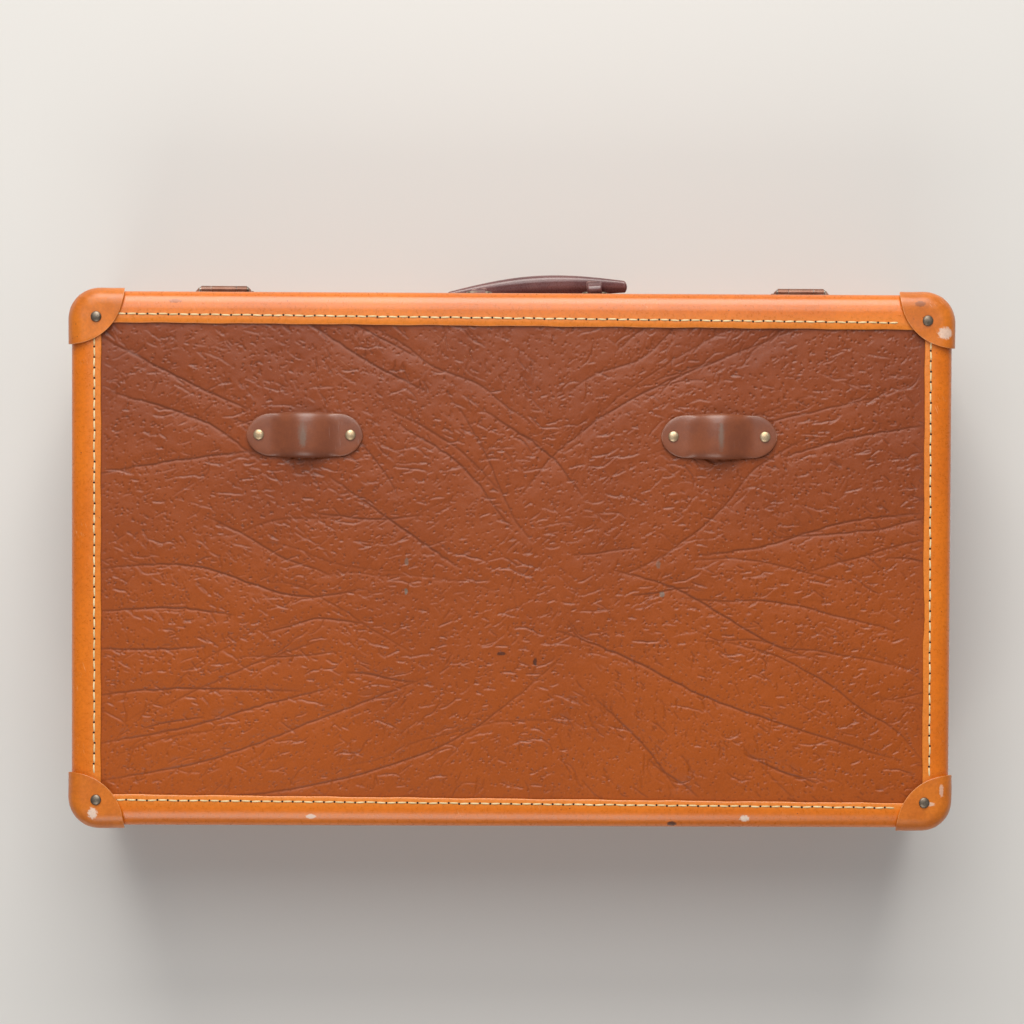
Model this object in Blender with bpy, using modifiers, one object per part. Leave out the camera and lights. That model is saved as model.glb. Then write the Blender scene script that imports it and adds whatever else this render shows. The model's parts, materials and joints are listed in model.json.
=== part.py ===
"""A cardboard suitcase of the mid twentieth century, lying on its base.

Two board shells, edged with vulcanised fibre, meet on a pair of back hinges. The lid carries two
leather strap loops, the front carries two hasp locks and a leather handle, and a folding stay
inside holds the lid open. Left and right are those of someone who looks down on the lid with the
handle side at the top, so left is +X. The front, where the handle is, faces -Y.
"""

import math

import bmesh
import bpy
from mathutils import Matrix, Vector

# Overall sizes, in metres, over the fibre edge binding
CASE_LENGTH = 0.6946
CASE_WIDTH = 0.4216
BASE_DEPTH = 0.118
LID_DEPTH = 0.062
CORNER_RADIUS = 0.022
EDGE_RADIUS = 0.010
CORNER_STEPS = 5
EDGE_STEPS = 3

# Fits, and how near two points are one point
GAP = 0.0003
OVERRUN = 0.002
PARTING = 0.0003
SAME_POINT = 0.000001

# Board, lining and fibre thicknesses, and the height of the seam between panel and band
BINDING = 0.0013
BINDING_FACE = 0.0245
BINDING_LEG = 0.024
BINDING_INNER_RADIUS = 0.003
BOARD = 0.0025
SEAM_HEIGHT = 0.014
LINING = 0.0008

# Fibre rim at the mouth, and the collar that the lid closes over
RIM = 0.0007
RIM_OUTER_LEG = 0.014
RIM_INNER_LEG = 0.008
COLLAR = 0.0015
COLLAR_CLEARANCE = 0.0006
COLLAR_RISE = 0.008
COLLAR_DROP = 0.028

# Corner caps and their rivets
CAP = 0.0024
CAP_REACH = 0.043
CAP_ROUND_STEPS = 22
RIVET_HEAD_RADIUS = 0.0042
RIVET_HEAD = 0.0016
RIVET_SHANK_RADIUS = 0.0016
RIVET_DOME_STEPS = 3
RIVET_ROUND_STEPS = 12
CAP_RIVET_INSET = 0.021

# Strap loops on the lid
LOOP_LENGTH = 0.091
LOOP_WIDTH = 0.036
LOOP_LEATHER = 0.0024
LOOP_RISE = 0.008
LOOP_FOOT = 0.017
LOOP_RIVET_SPACING = 0.072
LOOP_SPREAD_SHARE = 0.4693
LOOP_SPREAD = CASE_LENGTH * LOOP_SPREAD_SHARE
LOOP_FROM_CENTRE = 0.098
LOOP_STEPS = 14

# Back hinges
HINGE_SPREAD_SHARE = 0.634
HINGE_SPREAD = CASE_LENGTH * HINGE_SPREAD_SHARE
HINGE_LENGTH = 0.046
HINGE_LEAF = 0.0012
HINGE_LEAF_HEIGHT = 0.0128
HINGE_LEAF_ROUND = 0.002
KNUCKLE_RADIUS = 0.0026
PIN_RADIUS = 0.0011
PIN_HEAD = 0.0008

# Handle
HANDLE_OFFSET = -0.020
HANDLE_DROP = 0.035
HANDLE_HANG = math.radians(70)
GRIP_LENGTH = 0.150
GRIP_HALF_THICKNESS = 0.006
GRIP_HALF_WIDTH = 0.0095
GRIP_REACH = 0.017
GRIP_CROWN = 0.017
GRIP_SKEW = math.radians(4)
GRIP_END_SHARE = 0.50
GRIP_TIP_SHARE = 0.36
GRIP_TIP = 0.003
GRIP_STEPS = 14
GRIP_ROUND_STEPS = 3
WIRE_ROUND_STEPS = 1
RING_SPREAD = 0.096
RING_WIRE = 0.0014
RING_WIDTH = 0.020
RING_REACH = 0.015
RING_BEND = 0.003
TAB_LENGTH = 0.012
TAB_HALF_WIDTH = 0.0046
BRACKET_WIDTH = 0.026
BRACKET_HEIGHT = 0.030
BRACKET_PLATE = 0.0012
BRACKET_ROUND = 0.005
BRACKET_WEB = 0.003
BRACKET_STANDOFF = 0.0054
BRACKET_TUBE_RADIUS = 0.0032
BRACKET_TUBE_LENGTH = 0.011

# Hasp locks
LOCK_SPREAD_SHARE = 0.6654
LOCK_SPREAD = CASE_LENGTH * LOCK_SPREAD_SHARE
LOCK_WIDTH = 0.053
LOCK_TOP_WIDTH = 0.042
LOCK_HEIGHT = 0.032
LOCK_BELOW_RIM = 0.003
LOCK_DEPTH = 0.006
LOCK_WALL = 0.001
LOCK_ROUND = 0.0012
HASP = 0.0014
HASP_WIDTH = 0.036
HASP_NECK = 0.020
HASP_TONGUE = 0.019
HASP_SHOULDER = 0.0165
HASP_ROUND = 0.005
HASP_CHAMFER = 0.0025
HASP_PIVOT_HEIGHT = 0.020
HASP_KNUCKLE = 0.0028
HASP_PLATE = 0.0012
HASP_PLATE_WIDTH = 0.050
HASP_PLATE_LOW = 0.0015
HASP_PLATE_HIGH = 0.026
HASP_EAR = 0.008
HASP_EAR_WEB = 0.004
HASP_CHEEK_NEAR = 0.0200
HASP_CHEEK_FAR = 0.0245
HASP_CHEEK_RISE = 0.0012
STAPLE = 0.0016
STAPLE_HEIGHT = 0.008
STAPLE_CENTRE = 0.0115
STAPLE_DEPTH = 0.0052
STAPLE_WINDOW = 0.0036
STAPLE_CLEARANCE = 0.0008
BOLT = 0.0018
BOLT_STANDOFF = 0.0016
BOLT_NOSE = 0.0024
BOLT_NOSE_PAST = 0.0028
BOLT_BAR = 0.006
BOLT_BAR_FROM = 0.008
BOLT_FOOT = 0.006
BUTTON_TRAVEL = 0.006
BUTTON_CENTRE = 0.027
BUTTON_LENGTH = 0.013
BUTTON_HEIGHT = 0.008
BUTTON_THICKNESS = 0.0024
BUTTON_ROUND = 0.001
BUTTON_STEM = 0.004
LEAF_SPRING = 0.0004
LEAF_SPRING_HEIGHT = 0.004

# Folding stay inside the left wall; its pivots are measured forward of the lid's hinge axis, the
# lower one above the base's face and the upper one above the axis
STAY_FOOT_FORWARD = 0.0755
STAY_FOOT_ABOVE = 0.0331
STAY_HEAD_FORWARD = 0.1591
STAY_HEAD_ABOVE = 0.0401
STAY_LOWER = 0.1626
STAY_UPPER = 0.1141
STAY_BAR = 0.0015
STAY_BAR_WIDTH = 0.010
STAY_STANDOFF = 0.0012
STAY_PIN_RADIUS = 0.002
STAY_HEAD_RADIUS = 0.0038
STAY_HEAD_THICKNESS = 0.001
STAY_BOSS_RADIUS = 0.0048
STAY_PLATE = 0.0012
STAY_PLATE_LENGTH = 0.026
STAY_PLATE_HEIGHT = 0.016
STAY_PLATE_ROUND = 0.004

# Round shapes
ROUND_STEPS = 12
SMALL_ROUND_STEPS = 4
PLATE_ROUND_STEPS = 3
BEVEL_STEPS = 2
ROUND_PROFILE_SHARE = 0.5
SHARP_ANGLE = math.radians(35)

# Base colour, roughness and metallic share of each material
FINISHES = {
    "embossed_board": ((0.25, 0.085, 0.025), 0.45, 0.0),
    "edge_fibre": ((0.66, 0.23, 0.04), 0.4, 0.0),
    "corner_fibre": ((0.62, 0.21, 0.045), 0.4, 0.0),
    "strap_leather": ((0.22, 0.08, 0.03), 0.5, 0.0),
    "grip_leather": ((0.16, 0.06, 0.05), 0.5, 0.0),
    "lining_paper": ((0.55, 0.42, 0.28), 0.8, 0.0),
    "lacquered_metal": ((0.30, 0.13, 0.05), 0.35, 0.8),
    "steel": ((0.55, 0.54, 0.52), 0.3, 1.0),
    "brass": ((0.60, 0.42, 0.16), 0.3, 1.0),
}

# Levels and insets that follow from the sizes above
BOARD_INSET = BINDING + GAP
LINING_INSET = BOARD_INSET + BOARD + GAP
RIM_INSET = BOARD_INSET - GAP - RIM
RIM_INNER_FACE = LINING_INSET + RIM
COLLAR_INSET = RIM_INNER_FACE + COLLAR_CLEARANCE
CAP_INSET = -GAP - CAP
BASE_FACE = GAP + CAP + GAP + RIVET_HEAD
PARTING_LEVEL = BASE_FACE + BASE_DEPTH
LID_FACE = PARTING_LEVEL + LID_DEPTH
RIM_SURFACE = CASE_WIDTH / 2 - RIM_INSET
BOARD_SURFACE = CASE_WIDTH / 2 - BOARD_INSET
HINGE_AXIS = Vector((0, RIM_SURFACE + GAP + KNUCKLE_RADIUS, PARTING_LEVEL))
HANDLE_AXIS = Vector((HANDLE_OFFSET, -BOARD_SURFACE - BRACKET_STANDOFF, PARTING_LEVEL - HANDLE_DROP))
HASP_FACE = LOCK_DEPTH + GAP + GAP
HASP_PIVOT_OUT = HASP_FACE + HASP - HASP_KNUCKLE
CASE_SIDES = {"left": 1, "right": -1}
CASE_ENDS = {"front": -1, "back": 1}

parts = bpy.data.collections.new("cardboard_suitcase")
helpers = bpy.data.collections.new("cutters")
places = {}


def clear_scene():
    for obj in list(bpy.data.objects):
        bpy.data.objects.remove(obj, do_unlink=True)
    bpy.context.scene.collection.children.link(parts)
    bpy.context.scene.collection.children.link(helpers)


def finish(name):
    """A material with one Principled shader."""
    colour, roughness, metallic = FINISHES[name]
    material = bpy.data.materials.new(name)
    material.use_nodes = True
    shader = material.node_tree.nodes["Principled BSDF"]
    shader.inputs["Base Color"].default_value = (*colour, 1)
    shader.inputs["Roughness"].default_value = roughness
    shader.inputs["Metallic"].default_value = metallic
    material.diffuse_color = (*colour, 1)
    return material


def holder(name, at, parent=None, turn=0.0):
    """An empty on a joint's axis, placed in the case's own frame."""
    empty = bpy.data.objects.new(name, None)
    parts.objects.link(empty)
    places[name] = Vector(at)
    empty.parent = parent
    empty.location = places[name] - (places[parent.name] if parent else Vector())
    empty.rotation_euler.x = turn
    return empty


def seat(obj, parent, at=(0, 0, 0), turn=(0, 0, 0)):
    """Hangs a piece on its holder, at a place given in the case's own frame."""
    obj.parent = parent
    obj.location = Vector(at) - places[parent.name]
    obj.rotation_euler = turn
    return obj


def piece(obj, name, material):
    """Makes a modelled shape one of the suitcase's own parts."""
    obj.name = name
    obj.data.name = name
    obj.data.materials.clear()
    obj.data.materials.append(material)
    if obj.type == "MESH":
        obj.data.shade_smooth()
        obj.data.set_sharp_from_angle(angle=SHARP_ANGLE)
    for collection in list(obj.users_collection):
        collection.objects.unlink(obj)
    parts.objects.link(obj)
    return obj


def helper(obj):
    """Keeps a cutter out of the model."""
    obj.hide_render = True
    obj.display_type = "WIRE"
    return obj


def mesh_object(name, mesh):
    obj = bpy.data.objects.new(name, mesh)
    helpers.objects.link(obj)
    return obj


def from_bmesh(name, bm):
    mesh = bpy.data.meshes.new(name)
    bm.normal_update()
    bm.to_mesh(mesh)
    bm.free()
    return mesh_object(name, mesh)


def meshed(name, curve, turn=None):
    """The closed mesh of a curve, with its caps welded on."""
    source = bpy.data.objects.new(name, curve)
    helpers.objects.link(source)
    graph = bpy.context.evaluated_depsgraph_get()
    mesh = bpy.data.meshes.new_from_object(source.evaluated_get(graph))
    bpy.data.objects.remove(source, do_unlink=True)
    bm = bmesh.new()
    bm.from_mesh(mesh)
    bmesh.ops.remove_doubles(bm, verts=bm.verts, dist=SAME_POINT)
    if turn:
        bmesh.ops.transform(bm, matrix=turn, verts=bm.verts)
    bm.to_mesh(mesh)
    bm.free()
    return mesh_object(name, mesh)


def rounded_outline(length, width, radius, steps=CORNER_STEPS):
    """Points round a rectangle with round corners, anticlockwise, about its centre."""
    points = []
    for corner in range(4):
        across = 1 if corner in (0, 3) else -1
        along = 1 if corner in (0, 1) else -1
        centre = Vector((across * (length / 2 - radius), along * (width / 2 - radius)))
        for step in range(steps + 1):
            angle = math.pi / 2 * (corner + step / steps)
            points.append(centre + radius * Vector((math.cos(angle), math.sin(angle))))
    return points


def case_outline(inset):
    """The case's outline seen from above, that far inside the binding."""
    radius = CORNER_RADIUS - inset
    return rounded_outline(CASE_LENGTH - 2 * inset, CASE_WIDTH - 2 * inset, radius)


def slab(name, outlines, low, high, turn=None):
    """A flat plate between two heights. An outline inside another is a hole."""
    curve = bpy.data.curves.new(name, "CURVE")
    curve.dimensions = "2D"
    curve.fill_mode = "BOTH"
    curve.extrude = (high - low) / 2
    for outline in outlines:
        spline = curve.splines.new("POLY")
        spline.points.add(len(outline) - 1)
        for point, place in zip(spline.points, outline):
            point.co = (place[0], place[1], 0, 1)
        spline.use_cyclic_u = True
    lift = Matrix.Translation((0, 0, (low + high) / 2))
    return meshed(name, curve, turn @ lift if turn else lift)


def box(name, low, high):
    bm = bmesh.new()
    bmesh.ops.create_cube(bm, size=1)
    size = Vector(high) - Vector(low)
    bmesh.ops.scale(bm, vec=size, verts=bm.verts)
    bmesh.ops.translate(bm, vec=(Vector(high) + Vector(low)) / 2, verts=bm.verts)
    return from_bmesh(name, bm)


def rod(name, radius, start, end, steps=ROUND_STEPS):
    """A plain cylinder from one point to another."""
    start = Vector(start)
    run = Vector(end) - start
    bm = bmesh.new()
    bmesh.ops.create_cone(
        bm, cap_ends=True, segments=steps, radius1=radius, radius2=radius, depth=run.length
    )
    turn = run.to_track_quat("Z", "Y").to_matrix().to_4x4()
    place = Matrix.Translation(start + run / 2) @ turn
    bmesh.ops.transform(bm, matrix=place, verts=bm.verts)
    return from_bmesh(name, bm)


def combine(body, operation, others):
    for other in others:
        helper(other)
        modifier = body.modifiers.new(other.name, "BOOLEAN")
        modifier.operation = operation
        modifier.solver = "EXACT"
        modifier.object = other
    return body


def weld(body, *others):
    return combine(body, "UNION", others)


def carve(body, *cutters):
    return combine(body, "DIFFERENCE", cutters)


def tray(name, inset, wall, height):
    """An open shell whose face lies at z = inset and whose mouth is at the given height."""
    bm = bmesh.new()
    bmesh.ops.create_cube(bm, size=1)
    size = Vector((CASE_LENGTH - 2 * inset, CASE_WIDTH - 2 * inset, height - inset))
    bmesh.ops.scale(bm, vec=size, verts=bm.verts)
    bmesh.ops.translate(bm, vec=(0, 0, (height + inset) / 2), verts=bm.verts)
    upright = [edge for edge in bm.edges if abs(edge.verts[0].co.z - edge.verts[1].co.z) > GAP]
    bmesh.ops.bevel(
        bm,
        geom=upright,
        offset=CORNER_RADIUS - inset,
        segments=CORNER_STEPS,
        profile=ROUND_PROFILE_SHARE,
        affect="EDGES",
    )
    mouth = [face for face in bm.faces if face.calc_center_median().z > height - GAP]
    bmesh.ops.delete(bm, geom=mouth, context="FACES_ONLY")
    lower = [edge for edge in bm.edges if all(abs(vert.co.z - inset) < GAP for vert in edge.verts)]
    bmesh.ops.bevel(
        bm,
        geom=lower,
        offset=EDGE_RADIUS - inset,
        segments=EDGE_STEPS,
        profile=ROUND_PROFILE_SHARE,
        affect="EDGES",
    )
    shell = from_bmesh(name, bm)
    solid = shell.modifiers.new("Wall", "SOLIDIFY")
    solid.thickness = wall
    solid.offset = -1
    solid.use_even_offset = True
    return shell


def ring(name, outer_inset, inner_inset, low, high):
    """A band that runs round the case between two insets and two heights above the face."""
    return slab(name, [case_outline(outer_inset), case_outline(inner_inset)], low, high)


class Half:
    """The base or the lid, whose shells are modelled face down and then set in place."""

    def __init__(self, name, depth, face, turn, carrier):
        self.name = name
        self.depth = depth
        self.face = face
        self.turn = turn
        self.carrier = carrier
        self.mouth = depth - PARTING / 2

    def seat(self, obj):
        return seat(obj, self.carrier, (0, 0, self.face), (self.turn, 0, 0))

    def end(self, name):
        """The local direction of the front or back, which the lid's turn reverses."""
        return CASE_ENDS[name] * (1 if self.turn == 0 else -1)


def rivet(name, grip, material):
    """A domed rivet, its head up and its shank down through the given thickness."""
    profile = [(0, RIVET_HEAD)]
    for step in range(1, RIVET_DOME_STEPS + 1):
        angle = math.pi / 2 * step / RIVET_DOME_STEPS
        profile.append((RIVET_HEAD_RADIUS * math.sin(angle), RIVET_HEAD * math.cos(angle)))
    profile.append((RIVET_SHANK_RADIUS, 0))
    profile.append((RIVET_SHANK_RADIUS, -grip))
    profile.append((0, -grip))
    bm = bmesh.new()
    verts = [bm.verts.new((radius, 0, height)) for radius, height in profile]
    for first, second in zip(verts, verts[1:]):
        bm.edges.new((first, second))
    obj = from_bmesh(name, bm)
    screw = obj.modifiers.new("Turn", "SCREW")
    screw.steps = RIVET_ROUND_STEPS
    screw.render_steps = RIVET_ROUND_STEPS
    screw.use_merge_vertices = True
    screw.merge_threshold = SAME_POINT
    return piece(obj, name, material)


def rivet_holes(name, places_across, low, high):
    """One cutter with a round hole for each rivet."""
    bm = bmesh.new()
    for x, y in places_across:
        made = bmesh.ops.create_cone(
            bm,
            cap_ends=True,
            segments=RIVET_ROUND_STEPS,
            radius1=RIVET_SHANK_RADIUS + GAP,
            radius2=RIVET_SHANK_RADIUS + GAP,
            depth=high - low,
        )
        bmesh.ops.translate(bm, vec=(x, y, (low + high) / 2), verts=made["verts"])
    return from_bmesh(name, bm)


def cap_rivet_places():
    across = CASE_LENGTH / 2 - CAP_RIVET_INSET
    along = CASE_WIDTH / 2 - CAP_RIVET_INSET
    return [(side * across, end * along) for side in (1, -1) for end in (1, -1)]


def make_shell(half, looks, extra_holes=()):
    """Panel, band, binding, rim and lining of one half."""
    name = half.name
    low = CAP_INSET - OVERRUN
    holes = half.seat(rivet_holes(name + "_cap_rivet_holes", cap_rivet_places(), low, LINING_INSET))

    inner = BOARD_INSET + BOARD
    seam = SEAM_HEIGHT + GAP / 2
    band = ring(name + "_band", BOARD_INSET, inner, seam, half.mouth - RIM - GAP)
    half.seat(piece(band, name + "_band", looks["board"]))

    panel = tray(name + "_panel", BOARD_INSET, BOARD, SEAM_HEIGHT - GAP / 2)
    carve(panel, holes)
    if extra_holes:
        carve(panel, half.seat(rivet_holes(name + "_panel_holes", extra_holes, low, LINING_INSET)))
    half.seat(piece(panel, name + "_panel", looks["board"]))

    binding = tray(name + "_binding", 0, BINDING, BINDING_LEG)
    window = rounded_outline(
        CASE_LENGTH - 2 * BINDING_FACE, CASE_WIDTH - 2 * BINDING_FACE, BINDING_INNER_RADIUS
    )
    opening = half.seat(slab(name + "_binding_window", [window], low, inner))
    carve(binding, opening, holes)
    half.seat(piece(binding, name + "_binding", looks["fibre"]))

    rim_top = half.mouth
    rim = ring(name + "_rim_binding", RIM_INSET, RIM_INNER_FACE, rim_top - RIM_OUTER_LEG, rim_top)
    channel = ring(
        name + "_rim_channel",
        RIM_INSET + RIM,
        LINING_INSET,
        rim_top - RIM_OUTER_LEG - OVERRUN,
        rim_top - RIM,
    )
    trim = ring(
        name + "_rim_trim",
        RIM_INSET + RIM + GAP,
        RIM_INNER_FACE + GAP,
        rim_top - RIM_OUTER_LEG - OVERRUN,
        rim_top - RIM_INNER_LEG,
    )
    carve(rim, half.seat(channel), half.seat(trim))
    half.seat(piece(rim, name + "_rim_binding", looks["fibre"]))

    lining = tray(name + "_lining", LINING_INSET, LINING, rim_top - RIM_INNER_LEG - GAP)
    half.seat(piece(lining, name + "_lining", looks["lining"]))


def make_corner_caps(half, looks):
    """Four formed fibre caps, each held by one domed rivet through cap, binding and board."""
    low = CAP_INSET - OVERRUN
    grip = GAP + CAP + GAP + BINDING + GAP + BOARD
    holes = half.seat(rivet_holes(half.name + "_cap_holes", cap_rivet_places(), low, LINING_INSET))
    for end in CASE_ENDS:
        for side_name, side in CASE_SIDES.items():
            along = half.end(end)
            where = f"{end}_{side_name}"
            cap = tray(half.name + "_cap", CAP_INSET, CAP, CAP_REACH + OVERRUN)
            bm = bmesh.new()
            bmesh.ops.create_uvsphere(
                bm, u_segments=CAP_ROUND_STEPS, v_segments=CAP_ROUND_STEPS // 2, radius=CAP_REACH
            )
            corner = (side * CASE_LENGTH / 2, along * CASE_WIDTH / 2, 0)
            bmesh.ops.translate(bm, vec=corner, verts=bm.verts)
            combine(cap, "INTERSECT", [half.seat(from_bmesh(where + "_cap_edge", bm))])
            carve(cap, holes)
            half.seat(piece(cap, f"{half.name}_cap_{where}", looks["cap"]))

            fixing = rivet(f"{half.name}_cap_rivet_{where}", grip, looks["steel"])
            x = side * (CASE_LENGTH / 2 - CAP_RIVET_INSET)
            y = CASE_ENDS[end] * (CASE_WIDTH / 2 - CAP_RIVET_INSET)
            up = 1 if half.turn else -1
            head = half.face + up * (GAP + CAP + GAP)
            seat(fixing, half.carrier, (x, y, head), (0 if half.turn else math.pi, 0, 0))


def make_collar(base, looks):
    """The upright collar in the base's mouth, which the lid closes over."""
    collar = ring(
        "base_collar",
        COLLAR_INSET,
        COLLAR_INSET + COLLAR,
        base.depth - COLLAR_DROP,
        base.depth + COLLAR_RISE,
    )
    base.seat(piece(collar, "base_collar", looks["lining"]))


def loop_outline():
    """The bowed strap loop seen from its edge: flat feet and a round-topped bow between them."""
    bow = LOOP_LENGTH / 2 - LOOP_FOOT

    def height(x):
        if abs(x) >= bow:
            return 0
        return LOOP_RISE * (1 + math.cos(math.pi * x / bow)) / 2

    stations = [-LOOP_LENGTH / 2 - OVERRUN]
    stations += [bow * (2 * step / LOOP_STEPS - 1) for step in range(LOOP_STEPS + 1)]
    stations += [LOOP_LENGTH / 2 + OVERRUN]
    lower = [(x, height(x)) for x in stations]
    upper = [(x, height(x) + LOOP_LEATHER) for x in reversed(stations)]
    return lower + upper


def loop_places():
    return {
        name: Vector((side * LOOP_SPREAD / 2, -LOOP_FROM_CENTRE, LID_FACE - BOARD_INSET + GAP))
        for name, side in CASE_SIDES.items()
    }


def loop_rivet_places():
    """Rivet places on the lid panel, in the case's own frame."""
    return [
        (at.x + end * LOOP_RIVET_SPACING / 2, at.y)
        for at in loop_places().values()
        for end in (1, -1)
    ]


def make_strap_loops(lid, looks):
    on_edge = Matrix.Rotation(math.pi / 2, 4, "X")
    for name, at in loop_places().items():
        loop = slab("strap_loop", [loop_outline()], -LOOP_WIDTH, LOOP_WIDTH, on_edge)
        ends = rounded_outline(LOOP_LENGTH, LOOP_WIDTH, LOOP_WIDTH / 2)
        shape = slab("loop_ends", [ends], -OVERRUN, LOOP_RISE + LOOP_LEATHER + OVERRUN)
        combine(loop, "INTERSECT", [seat(shape, lid.carrier, at)])
        rivets = [(end * LOOP_RIVET_SPACING / 2, 0) for end in (1, -1)]
        holes = rivet_holes("loop_holes", rivets, -OVERRUN, LOOP_LEATHER + OVERRUN)
        carve(loop, seat(holes, lid.carrier, at))
        seat(piece(loop, f"strap_loop_{name}", looks["leather"]), lid.carrier, at)
        grip = GAP + LOOP_LEATHER + GAP + BOARD
        for end, where in ((1, "left"), (-1, "right")):
            fixing = rivet(f"strap_loop_{name}_rivet_{where}", grip, looks["brass"])
            head = at + Vector((end * LOOP_RIVET_SPACING / 2, 0, LOOP_LEATHER + GAP))
            seat(fixing, lid.carrier, head)


def make_hinges(base, lid, looks):
    """Three-knuckle leaf hinges on the back of the rims."""
    knuckle = (HINGE_LENGTH - 2 * GAP) / 3
    wall = -KNUCKLE_RADIUS
    for name, side in CASE_SIDES.items():
        centre = Vector((side * HINGE_SPREAD / 2, HINGE_AXIS.y, HINGE_AXIS.z))
        spans = {
            "base": [(-HINGE_LENGTH / 2, -HINGE_LENGTH / 2 + knuckle)],
            "lid": [(-knuckle / 2, knuckle / 2)],
        }
        spans["base"].append((-spans["base"][0][1], HINGE_LENGTH / 2))
        for half, up in ((base, -1), (lid, 1)):
            foot = KNUCKLE_RADIUS + GAP
            height = HINGE_LEAF_HEIGHT - foot
            outline = rounded_outline(HINGE_LENGTH, height, HINGE_LEAF_ROUND, PLATE_ROUND_STEPS)
            stand = Matrix.Translation((0, 0, up * (HINGE_LEAF_HEIGHT + foot) / 2))
            stand = stand @ Matrix.Rotation(math.pi / 2, 4, "X")
            leaf = slab(half.name + "_leaf", [outline], -wall - HINGE_LEAF, -wall, stand)
            for low, high in spans[half.name]:
                eye = rod("knuckle", KNUCKLE_RADIUS, (low, 0, 0), (high, 0, 0))
                neck_top = up * (foot + HINGE_LEAF)
                neck = box(
                    "knuckle_neck",
                    (low + GAP, wall + GAP, min(0, neck_top)),
                    (high - GAP, wall + HINGE_LEAF - GAP, max(0, neck_top)),
                )
                weld(leaf, seat(eye, half.carrier, centre), seat(neck, half.carrier, centre))
            bore = rod(
                "hinge_bore",
                PIN_RADIUS + GAP,
                (-HINGE_LENGTH / 2 - OVERRUN, 0, 0),
                (HINGE_LENGTH / 2 + OVERRUN, 0, 0),
            )
            carve(leaf, seat(bore, half.carrier, centre))
            seat(piece(leaf, f"{half.name}_hinge_leaf_{name}", looks["metal"]), half.carrier, centre)
        pin = headed_pin("hinge_pin", HINGE_LENGTH)
        seat(piece(pin, f"hinge_pin_{name}", looks["steel"]), base.carrier, centre)


def headed_pin(name, length):
    """A pin along X with a flat head at both ends, a gap clear of what it holds."""
    inner = length / 2 + GAP
    outer = inner + PIN_HEAD
    middle = (inner + outer) / 2
    pin = rod(name, PIN_RADIUS, (-middle, 0, 0), (middle, 0, 0))
    for end in (1, -1):
        head = rod(name + "_head", PIN_RADIUS + PIN_HEAD, (end * inner, 0, 0), (end * outer, 0, 0))
        head.parent = pin
        weld(pin, head)
    return pin


def grip_share(t):
    """How full the grip is at t, which runs from -1 to 1 along it."""
    return GRIP_END_SHARE + (1 - GRIP_END_SHARE) * math.cos(math.pi * t / 2)


def grip_reach(x):
    """How far the bowed grip stands off its axis at x along it."""
    return GRIP_REACH + GRIP_CROWN * math.cos(math.pi * x / GRIP_LENGTH)


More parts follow.
